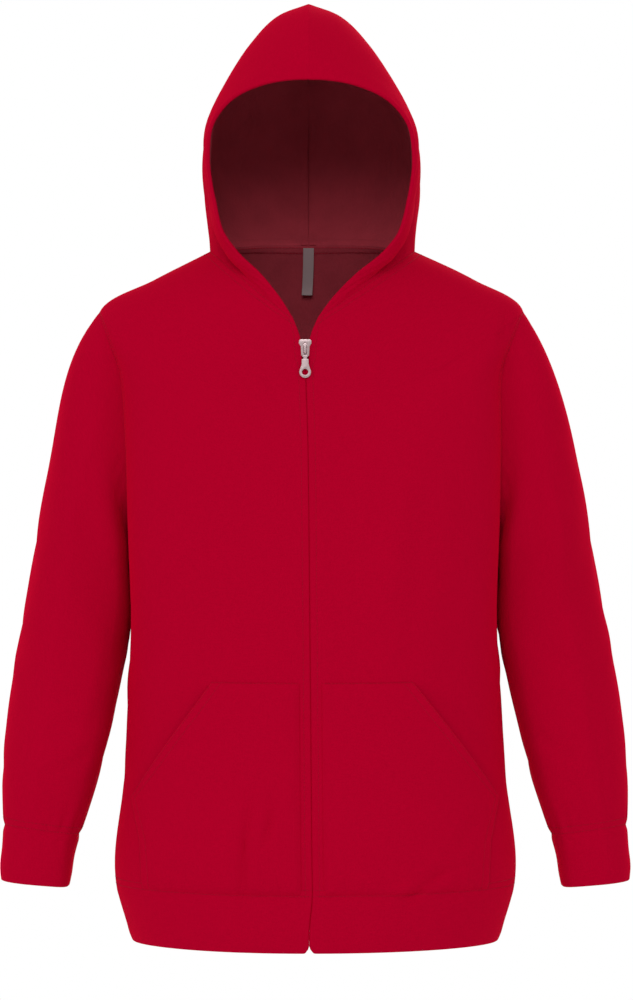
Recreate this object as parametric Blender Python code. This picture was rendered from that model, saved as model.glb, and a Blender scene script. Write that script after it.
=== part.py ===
"""A child's zip-front hooded sweatshirt, filled out as worn and empty inside.

Lengths are in millimetres until a mesh is made. +X is the wearer's left, -Y the front, +Z up.
The origin lies between the two high points of the shoulders, where the wearer carries it.
Each panel is a grid of points in the middle of the cloth, and a wall is built on both its sides.
Neighbouring panels share the points of their seam, so their walls meet on one mitred line.
"""
import math

import bmesh
import bpy
import numpy as np

MM = 0.001

FLEECE = 2.2
DOUBLED = 3.2
# Extra cloth of the hem turned inside the face edge, from this row of the hood up
HOOD_HEM = 1.2
HOOD_HEM_START = 4
SEAM_GAP = 0.3
MITRE_LIMIT = 1.45

# Grid of the cloth: cells between the body's seams
QUARTER_CELLS = 12
SIDE_SEAM_CELLS = 12
ARMHOLE_CELLS = 12
SHOULDER_CELLS = 5
HOOD_CELLS = 13
SLEEVE_SPAN_CELLS = (7, 3, 3, 3, 3, 2)
CUFF_CELLS = 3
WAISTBAND_CELLS = 4

# Rings of the body, from the waistband seam to the neck seam. up: way along the side seam, the
# armhole and the shoulder seam. side_z, front_z, back_z: heights of the ring at the side and
# at the two centres. half, front, back: half width and depths. square: 2 is an ellipse, more
# is boxier. dip: how the front drops from the side to the centre, 1 is a straight V.
# press: how far the arm pushes the side in.
RING_COLUMNS = ("up", "side_z", "front_z", "back_z", "half", "front", "back",
                "square", "dip", "press")
RINGS = (
    (0, -568, -572, -569, 178.0, 116, 111, 2.45, 2.0, 0),
    (14, -554, -558, -555, 179.0, 118, 113, 2.45, 2.0, 0),
    (93, -475, -478, -476, 170.8, 117, 112, 2.5, 2.0, 0),
    (179, -389, -391, -389, 167.0, 115, 110, 2.6, 2.0, 1),
    (232, -336, -338, -336, 167.5, 114, 109, 2.8, 2.0, 5),
    (313, -255, -262, -250, 171.5, 112, 107, 3.1, 2.0, 9),
    (400, -170, -205, -180, 173.0, 108, 104, 3.1, 2.0, 6),
    (460, -108, -170, -125, 176.0, 103, 101, 2.8, 2.0, 2),
    (515, -54.5, -140, -78, 189.5, 97, 96, 2.2, 1.9, 0),
    (570, -26, -104, -34, 143.0, 95, 84, 2.1, 1.4, 0),
    (626, -0.5, -63, 9, 91.0, 93.5, 64, 2.05, 1.05, 0),
)
UNDERARM_UP = 313
SHOULDER_UP = 515
NECK_UP = 626

# The back of the neck is nearly level across, so its rise from the side is over early
BACK_LEVEL = 4.0

# Share of a quarter ring from which the arm pushes the side in
PRESS_START = 0.66

# Share of a quarter ring that the armhole takes at its widest, front and back
ARMHOLE_FRONT = 0.19
ARMHOLE_BACK = 0.24
ARMHOLE_OVAL = (2.5, 2.2)

# The front opening: how far the cloth's edge and the zip tape's stand from the centre line
ZIP_COLUMNS = ("z", "cloth", "tape")
ZIP = (
    (-572, 1.7, 3.1),
    (-125, 1.7, 3.1),
    (-109, 2.6, 3.1),
    (-97, 5.9, 3.1),
    (-84, 7.0, 4.2),
    (-75, 8.6, 6.8),
    (-63, 12.5, 11.0),
)

# The garment hangs a little off true: the whole drifts sideways, and the zip line more so
HANG_COLUMNS = ("z", "drift", "centre")
HANG = (
    (-625, 3.0, -4.2),
    (-570, 3.0, -4.2),
    (-300, 1.6, -3.6),
    (-180, 1.3, -4.6),
    (-60, -0.8, -5.0),
    (-8, 3.6, -7.0),
    (20, 2.8, -6.0),
    (60, 2.0, -5.2),
    (110, 0.8, -4.3),
    (230, 0.8, -3.8),
)
HANG_REACH = 175


def column(table, names, name):
    """One named column of a table, as an array."""
    return np.array([row[names.index(name)] for row in table], float)


def through(keys, rows, at):
    """Smooth curve through rows at rising keys: cubic pieces whose slope at a key is the mean
    of the slopes on its two sides, each weighted by the other side's length."""
    keys = np.asarray(keys, float)
    rows = np.asarray(rows, float)
    at = np.atleast_1d(np.asarray(at, float))
    flat = rows.reshape(len(keys), -1)
    step = np.diff(keys)
    slope = np.diff(flat, axis=0) / step[:, None]
    tangent = np.empty_like(flat)
    weight = (step[1:] / (step[:-1] + step[1:]))[:, None]
    tangent[1:-1] = slope[:-1] * weight + slope[1:] * (1 - weight)
    tangent[0] = slope[0]
    tangent[-1] = slope[-1]
    place = np.clip(np.searchsorted(keys, at, side="right") - 1, 0, len(step) - 1)
    width = step[place][:, None]
    f = np.clip((at - keys[place]) / step[place], 0, 1)[:, None]
    value = ((1 + 2 * f) * (1 - f) ** 2 * flat[place]
             + f * (1 - f) ** 2 * width * tangent[place]
             + f ** 2 * (3 - 2 * f) * flat[place + 1]
             + f ** 2 * (f - 1) * width * tangent[place + 1])
    return value.reshape((len(at),) + rows.shape[1:])


def swell(x):
    """0 below 0, 1 above 1, and half a cosine wave between."""
    return 0.5 - 0.5 * np.cos(np.pi * np.clip(x, 0, 1))


def ring_value(name, up):
    """A ring's value at each way up."""
    return through(column(RINGS, RING_COLUMNS, "up"), column(RINGS, RING_COLUMNS, name), up)


def zip_edge(z, name="cloth"):
    """Distance from the centre line of the cloth's or the tape's edge at a height."""
    return np.interp(z, column(ZIP, ZIP_COLUMNS, "z"), column(ZIP, ZIP_COLUMNS, name))


def quarter(half, depth, square, share):
    """Points of a quarter of a superellipse, from its centre line (share 0) to its side (share
    1), evenly spaced along it. Gives x and depth as fractions of half and depth."""
    turn = np.linspace(0, np.pi / 2, 241)
    x = np.sin(turn) ** (2 / square)
    y = np.clip(np.cos(turn), 0, 1) ** (2 / square)
    length = np.hypot(np.diff(x) * half, np.diff(y) * depth)
    way = np.concatenate(([0], np.cumsum(length)))
    goal = np.asarray(share) * way[-1]
    return np.interp(goal, way, x), np.interp(goal, way, y)


def body(up, share, face):
    """Middle of the body's cloth on its +X half. up (R) are ways along the side, share (R, C)
    the parts of the quarter ring from the centre to the side, face -1 front or 1 back."""
    half = ring_value("half", up)
    depth = ring_value("front" if face < 0 else "back", up)
    square = ring_value("square", up)
    side_z = ring_value("side_z", up)
    centre_z = ring_value("front_z" if face < 0 else "back_z", up)
    dip = ring_value("dip", up) if face < 0 else np.full(len(up), BACK_LEVEL)
    press = ring_value("press", up)
    points = np.empty(share.shape + (3,))
    for row in range(len(up)):
        x, y = quarter(half[row], depth[row], square[row], share[row])
        z = side_z[row] + (centre_z[row] - side_z[row]) * (1 - x ** dip[row])
        edge = zip_edge(z[0]) if face < 0 else 0.0
        pushed = press[row] * swell((share[row] - PRESS_START) / (1 - PRESS_START))
        points[row, :, 0] = edge + (half[row] - edge) * x - pushed
        points[row, :, 1] = face * depth[row] * y
        points[row, :, 2] = z
    return points


def armhole_ups():
    """Ways up of the armhole's rows, closer at its two ends, where it turns."""
    even = np.linspace(-1, 1, ARMHOLE_CELLS + 1)
    turned = -np.cos(np.pi * (even + 1) / 2)
    middle = (UNDERARM_UP + SHOULDER_UP) / 2
    return middle + (SHOULDER_UP - UNDERARM_UP) / 2 * (even + turned) / 2


def body_ups():
    """Ways up of all rows of a body panel."""
    lower = np.linspace(0, UNDERARM_UP, SIDE_SEAM_CELLS + 1)
    upper = np.linspace(SHOULDER_UP, NECK_UP, SHOULDER_CELLS + 1)
    return np.concatenate((lower[:-1], armhole_ups(), upper[1:]))


def panel_share(up, face):
    """Share of the quarter ring that belongs to a panel: all of it but for the armhole's oval."""
    depth = ARMHOLE_FRONT if face < 0 else ARMHOLE_BACK
    across = (up - (UNDERARM_UP + SHOULDER_UP) / 2) / ((SHOULDER_UP - UNDERARM_UP) / 2)
    inside = np.clip(1 - np.abs(across) ** ARMHOLE_OVAL[0], 0, 1)
    return 1 - depth * inside ** (1 / ARMHOLE_OVAL[1])


def front_panel():
    """Right-hand (+X) front: rows from the waistband seam to the neck, columns from the zip."""
    up = body_ups()
    share = panel_share(up, -1)[:, None] * np.linspace(0, 1, QUARTER_CELLS + 1)
    return body(up, share, -1)


def back_panel():
    """The whole back: columns from its +X side over the centre to its -X side."""
    up = body_ups()
    share = panel_share(up, 1)[:, None] * np.linspace(0, 1, QUARTER_CELLS + 1)
    half = body(up, share, 1)
    other = half[:, 1:] * (-1, 1, 1)
    return np.concatenate((half[:, ::-1], other), axis=1)


# Sections of the sleeve and of the cuff, named by their outermost and innermost points in the
# front view. depth: size front to back. back: how far the section lies behind the shoulder.
SLEEVE_COLUMNS = ("outer_x", "outer_z", "inner_x", "inner_z", "depth", "back")
SLEEVE = (
    (241.0, -206, 167.5, -274, 136, 16),
    (254.5, -286, 167.0, -322, 128, 24),
    (268.0, -362, 177.5, -385, 122, 20),
    (276.5, -420, 189.0, -434, 112, 12),
    (280.5, -482, 202.5, -489, 96, 6),
    (278.5, -515, 213.5, -523, 74, 2),
)
CUFF = (
    (278.5, -515, 213.5, -523, 74, 2),
    (280.0, -533, 218.0, -541, 71, 1),
    (282.0, -555, 221.0, -561, 67, 0),
    (281.0, -565, 223.0, -570, 64, 0),
)
CUFF_WAYS = (0, 18, 41, 51)
SLEEVE_SQUARE = 2.15
# How the sleeve leaves the armhole: sideways, forwards or backwards, and down
LEAVE_TOP = (0.59, 0.0, -0.81)
LEAVE_SIDE = (0.82, 0.22, -0.50)
LEAVE_UNDER = (0.96, 0.10, -0.26)


def section(row, turns):
    """A sleeve section as an oval through its inner and outer points; turn 0 is the inner one
    and pi the outer, by way of the front for turns under pi."""
    outer_x, outer_z, inner_x, inner_z, depth, back = row
    inner = np.array((inner_x, back, inner_z))
    outer = np.array((outer_x, back, outer_z))
    across = -np.cos(turns)
    deep = -np.sin(turns)
    power = 2 / SLEEVE_SQUARE
    across = np.sign(across) * np.abs(across) ** power
    deep = np.sign(deep) * np.abs(deep) ** power
    centre = (inner + outer) / 2
    return (centre + across[:, None] * (outer - inner) / 2
            + deep[:, None] * np.array((0, depth / 2, 0)))


def armhole(front, back):
    """The armhole's points on +X, from the underarm up the front to the shoulder and down the
    back, without the underarm twice."""
    low = SIDE_SEAM_CELLS
    high = low + ARMHOLE_CELLS
    return np.concatenate((front[low:high, -1], back[high:low:-1, 0]))


def way_round(loop):
    """Turn of each armhole point: 0 under the arm, pi on the shoulder, by way along the loop."""
    closed = np.vstack((loop, loop[:1]))
    way = np.concatenate(([0], np.cumsum(np.linalg.norm(np.diff(closed, axis=0), axis=1))))
    top = ARMHOLE_CELLS
    first = way[:top + 1] / way[top] * np.pi
    last = np.pi + (way[top + 1:-1] - way[top]) / (way[-1] - way[top]) * np.pi
    return np.concatenate((first, last))


def loft(rings, leave, cells):
    """Smooth tube through rings of like points. Each lengthwise line is a cubic curve; its
    slope at a ring is the weighted mean of the two spans beside it, and leave at the first."""
    gaps = np.diff(rings, axis=0)
    span = np.linalg.norm(gaps, axis=2)[:, :, None]
    slope = gaps / span
    tangent = np.empty_like(rings)
    tangent[0] = leave
    tangent[1:-1] = ((slope[:-1] * span[1:] + slope[1:] * span[:-1])
                     / (span[:-1] + span[1:]))
    tangent[-1] = slope[-1]
    rows = [rings[:1]]
    for number, count in enumerate(cells):
        f = (np.arange(1, count + 1) / count)[:, None, None]
        rows.append((1 + 2 * f) * (1 - f) ** 2 * rings[number]
                    + f * (1 - f) ** 2 * span[number] * tangent[number]
                    + f ** 2 * (3 - 2 * f) * rings[number + 1]
                    + f ** 2 * (f - 1) * span[number] * tangent[number + 1])
    return np.concatenate(rows)


def sleeve(loop):
    """The +X sleeve, rows from the armhole to the cuff seam, columns round from the underarm."""
    turns = way_round(loop)
    rings = np.stack([loop] + [section(row, turns) for row in SLEEVE])
    high = ((1 - np.cos(turns)) / 2)[:, None]
    sides = np.sin(turns)[:, None]
    to_side = np.abs(sides)
    top = np.array(LEAVE_TOP) * high + np.array(LEAVE_UNDER) * (1 - high)
    flank = np.array(LEAVE_SIDE) * (1, -1, 1) * (sides > 0) + np.array(LEAVE_SIDE) * (sides <= 0)
    leave = top * (1 - to_side) + flank * to_side
    leave /= np.linalg.norm(leave, axis=1)[:, None]
    return loft(rings, leave, SLEEVE_SPAN_CELLS), turns


def cuff(turns):
    """The +X cuff, rows from its seam to its open end."""
    rings = np.stack([section(row, turns) for row in CUFF])
    return through(CUFF_WAYS, rings, np.linspace(0, CUFF_WAYS[-1], CUFF_CELLS + 1))


# Sections of the waistband: down from its seam, and the body's hem ring scaled to these sizes
BAND_COLUMNS = ("down", "half", "front", "back")
BAND = (
    (0, 178.0, 116, 111),
    (16, 173.5, 114, 109),
    (34, 168.0, 111, 106),
    (43, 165.5, 108, 103),
    (50, 162.5, 105, 100),
)


def waistband(front, back):
    """The band under the hem, columns from the +X front edge round the back to the -X one."""
    hem = np.concatenate((front[0], back[0, 1:], front[0, -2::-1] * (-1, 1, 1)))
    down = column(BAND, BAND_COLUMNS, "down")
    at = np.linspace(0, down[-1], WAISTBAND_CELLS + 1)
    half, fore, aft = (through(down, column(BAND, BAND_COLUMNS, name), at)
                       for name in ("half", "front", "back"))
    rows = np.repeat(hem[None], len(at), axis=0)
    edge = zip_edge(hem[0, 2])
    beyond = np.sign(hem[:, 0]) * np.maximum(np.abs(hem[:, 0]) - edge, 0)
    near = np.clip(np.abs(hem[:, 0]), 0, edge) * np.sign(hem[:, 0])
    rows[:, :, 0] = near + beyond * ((half - edge) / (half[0] - edge))[:, None]
    scale = np.where(hem[:, 1] < 0, (fore / fore[0])[:, None], (aft / aft[0])[:, None])
    rows[:, :, 1] *= scale
    rows[:, :, 2] -= at[:, None]
    return rows


# Curves of the hood on +X, each from the neck seam up to the middle seam: the face edge, over
# the ear, round the back of the head and the middle seam at the nape. x, y, z of each point.
FACE_EDGE = (
    (12.5, -93.5, -63), (23, -94, -47), (43, -92, -24), (66, -88, -4), (79, -85, 13), (87, -84, 42),
    (91.5, -85, 80), (87.5, -88, 108), (71, -92, 129), (44, -96, 142), (20, -98, 146.5), (0, -99, 147.5),
)
OVER_EAR = (
    (91, 0, -0.5), (93, 8, 22), (97, 12, 50), (97.5, 14, 78), (94, 12, 104), (82.5, 8, 133),
    (67.5, 3, 162), (50, -3, 190), (27, -8, 211), (0, -12, 221),
)
ROUND_BACK = (
    (52, 56, 8), (64, 72, 30), (74, 82, 60), (78, 86, 90), (75, 82, 118), (65, 72, 147),
    (48, 58, 176), (26, 46, 198), (0, 38, 210),
)
NAPE = (
    (0, 64, 9), (0, 83, 24), (0, 101, 58), (0, 111, 98), (0, 107, 138), (0, 90, 172), (0, 66, 194),
)
CROWN = (
    (0, -99, 147.5), (0, -88, 172), (0, -68, 196), (0, -42, 213), (0, -12, 221), (0, 16, 218.5),
    (0, 42, 209), (0, 66, 194),
)
# A line over the cheek, by how far it stands from the face edge at each share of its length
CHEEK_COLUMNS = ("share", "x", "y", "z")
CHEEK = (
    (0, 40.5, 12.6, 31.3), (0.12, 22, 14, 9), (0.23, 11, 15, -1), (0.31, 7, 18, -1),
    (0.38, 4.5, 20, 0), (0.46, 3.5, 21, 0), (0.6, 3.5, 22, 1), (0.75, 3, 22, 8),
    (0.88, 1, 20, 17), (1, 0, 19, 29),
)
HOOD_STATIONS = (0, 0.17, 0.5, 0.78, 1)


def along(points, count):
    """Count + 1 points evenly spaced along a smooth curve through the points given."""
    points = np.array(points, float)
    way = np.concatenate(([0], np.cumsum(np.linalg.norm(np.diff(points, axis=0), axis=1))))
    fine = through(way, points, np.linspace(0, way[-1], 400))
    length = np.concatenate(([0], np.cumsum(np.linalg.norm(np.diff(fine, axis=0), axis=1))))
    goal = np.linspace(0, length[-1], count + 1)
    return np.stack([np.interp(goal, length, fine[:, axis]) for axis in range(3)], axis=1)


def hood(neck):
    """The +X half of the hood: rows from the neck seam to the crown, columns from the face edge
    to the nape. It is lofted through its five curves, then pulled onto the neck seam and the
    crown seam by a share that falls with the square of the distance from each."""
    rows = HOOD_CELLS
    columns = len(neck) - 1
    edge = along(FACE_EDGE, rows)
    apart = np.stack([column(CHEEK, CHEEK_COLUMNS, name) for name in "xyz"], axis=1)
    cheek = edge + through(column(CHEEK, CHEEK_COLUMNS, "share"), apart,
                           np.linspace(0, 1, rows + 1))
    curves = np.stack([edge, cheek] + [along(curve, rows) for curve in (OVER_EAR, ROUND_BACK, NAPE)])
    across = np.linspace(0, 1, columns + 1)
    grid = through(HOOD_STATIONS, curves, across).transpose(1, 0, 2)
    up = np.linspace(0, 1, rows + 1)[:, None, None]
    crown = along(CROWN, columns)
    grid = grid + (1 - up) ** 2 * (neck - grid[0]) + up ** 2 * (crown - grid[-1])
    grid[-1, :, 0] = 0
    grid[:, -1, 0] = 0
    return grid


def spot(grid, rows, columns):
    """Points on a grid's flat cells at fractional rows and columns."""
    row = np.clip(np.floor(rows).astype(int), 0, grid.shape[0] - 2)
    col = np.clip(np.floor(columns).astype(int), 0, grid.shape[1] - 2)
    f = (rows - row)[..., None]
    g = (columns - col)[..., None]
    return ((1 - f) * (1 - g) * grid[row, col] + f * (1 - g) * grid[row + 1, col]
            + (1 - f) * g * grid[row, col + 1] + f * g * grid[row + 1, col + 1])


# Pocket: how far its free edge lies from the zip, by way up from the waistband seam. The side
# edge is sewn, and the slant above it is the open mouth.
POCKET_COLUMNS = ("up", "reach")
POCKET = (
    (2, 160.0),
    (45, 160.5),
    (94, 165.5),
    (186, 90.0),
)
POCKET_START = 9.5
POCKET_CELLS = (8, 9)
POCKET_OFF = 3.9
POCKET_SEWN_OFF = 2.7
POCKET_MOUTH_RISE = 2.4


def pocket(front, normals):
    """The +X patch pocket, made from the front panel's points and moved out."""
    rows, columns = POCKET_CELLS
    table_up = column(POCKET, POCKET_COLUMNS, "up")
    up = np.linspace(table_up[0], table_up[-1], rows + 1)
    reach = np.interp(up, table_up, column(POCKET, POCKET_COLUMNS, "reach"))
    place = up / UNDERARM_UP * SIDE_SEAM_CELLS
    fine = np.linspace(0, QUARTER_CELLS, 400)
    grid_columns = np.empty((rows + 1, columns + 1))
    for row in range(rows + 1):
        x = spot(front, np.full(fine.shape, place[row]), fine)[:, 0]
        widest = np.argmax(x)
        ends = np.interp((POCKET_START, reach[row]), x[:widest], fine[:widest])
        grid_columns[row] = np.linspace(ends[0], ends[1], columns + 1)
    grid_rows = np.repeat(place[:, None], columns + 1, axis=1)
    out = spot(normals, grid_rows, grid_columns)
    across = np.linspace(0, 1, columns + 1)[None, :]
    high = ((up - table_up[-2]) / (table_up[-1] - table_up[-2]))[:, None]
    mouth = np.where(high > 0, np.sin(np.pi * np.clip(high, 0, 1)), 0) * across ** 4
    off = POCKET_SEWN_OFF + (POCKET_OFF - POCKET_SEWN_OFF) * swell(across * 3)
    off = off + POCKET_MOUTH_RISE * mouth
    return spot(front, grid_rows, grid_columns) + out * off[..., None]


# Broad folds of the cloth. down: from the piece's highest row, mm along its side. across: mm
# from the front or back centre line, or round the sleeve from under the arm by way of the front.
# lean: degrees that the fold's line turns from straight down, towards greater across. length
# and width: to where the fold has fallen to a third. depth: outwards, less than 0 for a trough.
FOLD_COLUMNS = ("piece", "down", "across", "lean", "length", "width", "depth")
FOLDS = (
    ("front_left", 330, 128, -4, 120, 26, -2.6),
    ("front_left", 300, 78, 8, 90, 26, 1.8),
    ("front_left", 545, 60, 70, 60, 22, 2.4),
    ("front_left", 130, 130, 38, 50, 20, -2.0),
    ("front_right", 345, 122, 6, 100, 26, -2.2),
    ("front_right", 560, 70, 80, 55, 22, 2.6),
    ("front_right", 140, 124, 34, 50, 20, -1.8),
    ("back", 250, 150, -25, 90, 26, -3.0),
    ("back", 270, -140, 28, 95, 26, -2.6),
    ("back", 470, 70, 8, 120, 30, -2.4),
    ("back", 500, -60, -6, 100, 30, -2.2),
    ("back", 560, -130, -70, 60, 24, 2.4),
    ("sleeve_left", 105, 85, -38, 55, 22, -2.8),
    ("sleeve_left", 150, 110, -42, 60, 22, 2.6),
    ("sleeve_left", 195, 95, -45, 60, 22, -2.4),
    ("sleeve_left", 255, 128, -8, 75, 20, -2.8),
    ("sleeve_left", 190, 250, 35, 70, 24, -3.0),
    ("sleeve_left", 290, 235, 62, 50, 22, 2.6),
    ("sleeve_right", 120, 90, -35, 60, 22, -2.6),
    ("sleeve_right", 185, 60, -40, 60, 24, -3.0),
    ("sleeve_right", 270, 130, -20, 60, 22, -2.6),
    ("sleeve_right", 170, 255, 38, 70, 24, -2.8),
    ("sleeve_right", 300, 60, 65, 50, 22, 2.4),
    ("hood_left", 215, 95, 40, 60, 24, -2.4),
    ("hood_left", 165, 175, 25, 70, 26, -2.6),
    ("hood_right", 205, 90, 36, 60, 24, -2.2),
    ("hood_right", 150, 180, 30, 70, 26, -2.6),
)
# Cells from a seam over which a fold rises, after the first
FOLD_RISE = 2


def ways(grid, closed, middle):
    """How far each point lies down from the highest row and across from the first column (or
    from the column numbered middle), as means along the rows and columns."""
    down = np.linalg.norm(np.diff(grid, axis=0), axis=2).mean(axis=1)
    across = np.linalg.norm(np.diff(grid, axis=1), axis=2)
    across = np.concatenate((np.zeros((len(grid), 1)), np.cumsum(across, axis=1)), axis=1)
    across = across - across[:, middle:middle + 1]
    down = np.concatenate(([0], np.cumsum(down)))
    if not closed:
        down = down[-1] - down
    return down[:, None] + 0 * across, across


def folded(name, grid, normals, closed):
    """The grid moved along its normals by its piece's folds, and not at all next to a seam."""
    down, across = ways(grid, closed, QUARTER_CELLS if name == "back" else 0)
    move = np.zeros(grid.shape[:2])
    for fold in FOLDS:
        piece, at_down, at_across, lean, length, width, depth = fold
        if piece != name:
            continue
        lean = math.radians(lean)
        x = across - at_across
        y = down - at_down
        along_fold = x * math.sin(lean) + y * math.cos(lean)
        off_fold = x * math.cos(lean) - y * math.sin(lean)
        move += depth * np.exp(-(along_fold / length) ** 2 - (off_fold / width) ** 2)
    rows, columns = move.shape
    row = np.minimum(np.arange(rows), np.arange(rows)[::-1])
    move *= swell((row - 1) / FOLD_RISE)[:, None]
    if not closed:
        col = np.minimum(np.arange(columns), np.arange(columns)[::-1])
        move *= swell((col - 1) / FOLD_RISE)[None, :]
    return grid + normals * move[..., None]


def grid_normals(grid, flip, closed):
    """Unit normals of a grid of points, from the differences across each point. A corner takes
    the mean of its two neighbours along the edges, since its own edges may run in one line."""
    if closed:
        by_column = np.roll(grid, -1, axis=1) - np.roll(grid, 1, axis=1)
    else:
        by_column = np.gradient(grid, axis=1)
    by_row = np.gradient(grid, axis=0)
    normal = np.cross(by_column, by_row)
    if not closed:
        for row, next_row in ((0, 1), (-1, -2)):
            for col, next_col in ((0, 1), (-1, -2)):
                normal[row, col] = normal[next_row, col] + normal[row, next_col]
    normal /= np.linalg.norm(normal, axis=2)[..., None]
    return -normal if flip else normal


def point_key(point):
    """A point as whole fiftieths of a millimetre, the same for panels that share it."""
    return tuple(np.round(point * 50).astype(int))


def seam_normals(panels):
    """Mean normal at each seam point, over the panels that share it."""
    total = {}
    for panel in panels:
        grid = panel["grid"]
        for row in range(grid.shape[0]):
            for col in range(grid.shape[1]):
                key = point_key(grid[row, col])
                total[key] = total.get(key, 0) + panel["normals"][row, col]
    for panel in panels:
        grid = panel["grid"]
        shared = np.array([[total[point_key(point)] for point in line] for line in grid])
        panel["shared"] = shared / np.linalg.norm(shared, axis=2)[..., None]


def drawn_in(grid, shared, closed):
    """The grid with its edge points moved in by half a seam's gap, square to the seam's end
    face, which holds the seam's line and the shared normal."""
    result = grid.copy()

    def move(edge, inner, normal, target):
        if not closed:
            inner = inner.copy()
            inner[0] = inner[1]
            inner[-1] = inner[-2]
        tangent = np.gradient(edge, axis=0)
        if closed:
            tangent = np.roll(edge, -1, axis=0) - np.roll(edge, 1, axis=0)
        away = np.cross(tangent, normal)
        away /= np.linalg.norm(away, axis=1)[:, None]
        sign = np.sign(np.sum(away * (inner - edge), axis=1))[:, None]
        target += away * sign * SEAM_GAP / 2

    move(grid[0], grid[1], shared[0], result[0])
    move(grid[-1], grid[-2], shared[-1], result[-1])
    if not closed:
        move(grid[:, 0], grid[:, 1], shared[:, 0], result[:, 0])
        move(grid[:, -1], grid[:, -2], shared[:, -1], result[:, -1])
    return result


def wall_mesh(panel):
    """Points and faces of a panel's wall: an outer and an inner sheet and the edges between.
    Each cell is cut in two along its shorter diagonal."""
    grid, shared, normals = panel["grid"], panel["shared"], panel["normals"]
    flip, closed = panel["flip"], panel["closed"]
    lean = np.clip(np.sum(shared * normals, axis=2), 1 / MITRE_LIMIT, 1)[..., None]
    middle = drawn_in(grid, shared, closed)
    rows, columns = grid.shape[:2]
    outer = middle + shared * np.broadcast_to(panel["outer"], (rows, columns))[..., None] / lean
    inner = middle - shared * np.broadcast_to(panel["inner"], (rows, columns))[..., None] / lean
    points = hang(np.concatenate((outer.reshape(-1, 3), inner.reshape(-1, 3))))
    number = np.arange(rows * columns).reshape(rows, columns)
    below = number + rows * columns
    if closed:
        number = np.hstack((number, number[:, :1]))
        below = np.hstack((below, below[:, :1]))

    def quads(a, b, c, d):
        a, b, c, d = a.ravel(), b.ravel(), c.ravel(), d.ravel()
        first = np.linalg.norm(points[a] - points[c], axis=1)
        other = np.linalg.norm(points[b] - points[d], axis=1)
        short = (first <= other)[:, None]
        one = np.where(short, np.stack((a, b, c), axis=1), np.stack((a, b, d), axis=1))
        two = np.where(short, np.stack((a, c, d), axis=1), np.stack((b, c, d), axis=1))
        return np.concatenate((one, two))

    parts = [
        quads(number[:-1, :-1], number[:-1, 1:], number[1:, 1:], number[1:, :-1]),
        quads(below[:-1, :-1], below[1:, :-1], below[1:, 1:], below[:-1, 1:]),
        quads(number[0, :-1], below[0, :-1], below[0, 1:], number[0, 1:]),
        quads(number[-1, :-1], number[-1, 1:], below[-1, 1:], below[-1, :-1]),
    ]
    if not closed:
        parts.append(quads(number[:-1, 0], number[1:, 0], below[1:, 0], below[:-1, 0]))
        parts.append(quads(number[:-1, -1], below[:-1, -1], below[1:, -1], number[1:, -1]))
    faces = np.concatenate(parts)
    if flip:
        faces = faces[:, ::-1]
    return points, faces


def hang(points):
    """Moves points sideways by the garment's drift at their height, and by more near its
    centre line, fading over half a cosine wave to the side."""
    z = column(HANG, HANG_COLUMNS, "z")
    drift = through(z, column(HANG, HANG_COLUMNS, "drift"), points[:, 2])
    centre = through(z, column(HANG, HANG_COLUMNS, "centre"), points[:, 2])
    result = points.copy()
    result[:, 0] += drift + centre * (1 - swell(np.abs(points[:, 0]) / HANG_REACH))
    return result


def material(name, colour, roughness, metallic=0.0):
    """A Principled surface of one linear colour."""
    made = bpy.data.materials.new(name)
    made.use_nodes = True
    shader = made.node_tree.nodes["Principled BSDF"]
    shader.inputs["Base Color"].default_value = (*colour, 1)
    shader.inputs["Roughness"].default_value = roughness
    shader.inputs["Metallic"].default_value = metallic
    made.diffuse_color = (*colour, 1)
    return made


def add_object(name, points, faces, surface):
    """A named object of the points (mm) and faces given, smooth but for its sharp edges."""
    mesh = bpy.data.meshes.new(name)
    mesh.from_pydata((np.asarray(points) * MM).tolist(), [], np.asarray(faces).tolist())
    mesh.materials.append(surface)
    mesh.shade_smooth()
    mesh.set_sharp_from_angle(angle=math.radians(40))
    made = bpy.data.objects.new(name, mesh)
    bpy.context.scene.collection.objects.link(made)
    return made


# Zip: tape and coil lie behind the front edges
TAPE_WIDTH = 11.0
TAPE_END_SHORT = 0.3
TAPE_THICK = 1.0
ZIP_BEHIND = 2.9
CHAIN_HALF = 2.7
CHAIN_THICK = 2.0
CHAIN_TOP = -94.0
STOP_LENGTH = 5.0
STOP_RISE = 0.5
PATH_APART = 0.5

# Slider: two plates round the chain, joined by a post, and a bail that holds the pull tab
SLIDER_TOP = -81.5
SLIDER_LENGTH = 16.0
SLIDER_CROWN_HALF = 5.6
SLIDER_CROWN_LENGTH = 5.5
SLIDER_HALF = 4.5
SLIDER_CORNER = 1.2
PLATE_BEHIND = (4.2, 5.6)
PLATE_AHEAD = (-1.6, 1.6)
POST_HALF = 1.4
POST_DROP = (2.6, 6.4)
BAIL_HALF = 1.1
BAIL_DROP = (2.6, 12.6)
BAIL_WINDOW_DROP = (4.0, 11.2)
BAIL_RISE = (3.7, 5.0)

# Pull tab: hangs from a bar at its head that passes behind the bail
PULL_DROP = 5.1
PULL_THICK = 1.3
PULL_BAR = 0.9
PULL_LENGTH = 29.4
PULL_HEAD_HALF = 3.6
PULL_WAIST_HALF = 3.3
PULL_FOOT_HALF = 5.7
PULL_FOOT_TURN = 25
PULL_NECK_DROP = 4.5
PULL_CORNER = 1.1
PULL_WINDOW_HALF = 1.9
PULL_WINDOW_END = 8.0
PULL_HOLE_RADIUS = 2.1

LABEL_HALF = 4.8
LABEL_TOP = 6.5
LABEL_BOTTOM = -35.5
LABEL_THICK = 1.0
LABEL_INSIDE = 2.2
LABEL_CELLS = 4


def centre_path(front, band):
    """Points of the front edge at the centre line, from the foot of the waistband to the neck."""
    path = np.concatenate((band[:0:-1, 0], front[:, 0]))
    path[:, 0] = 0
    return path


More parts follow.
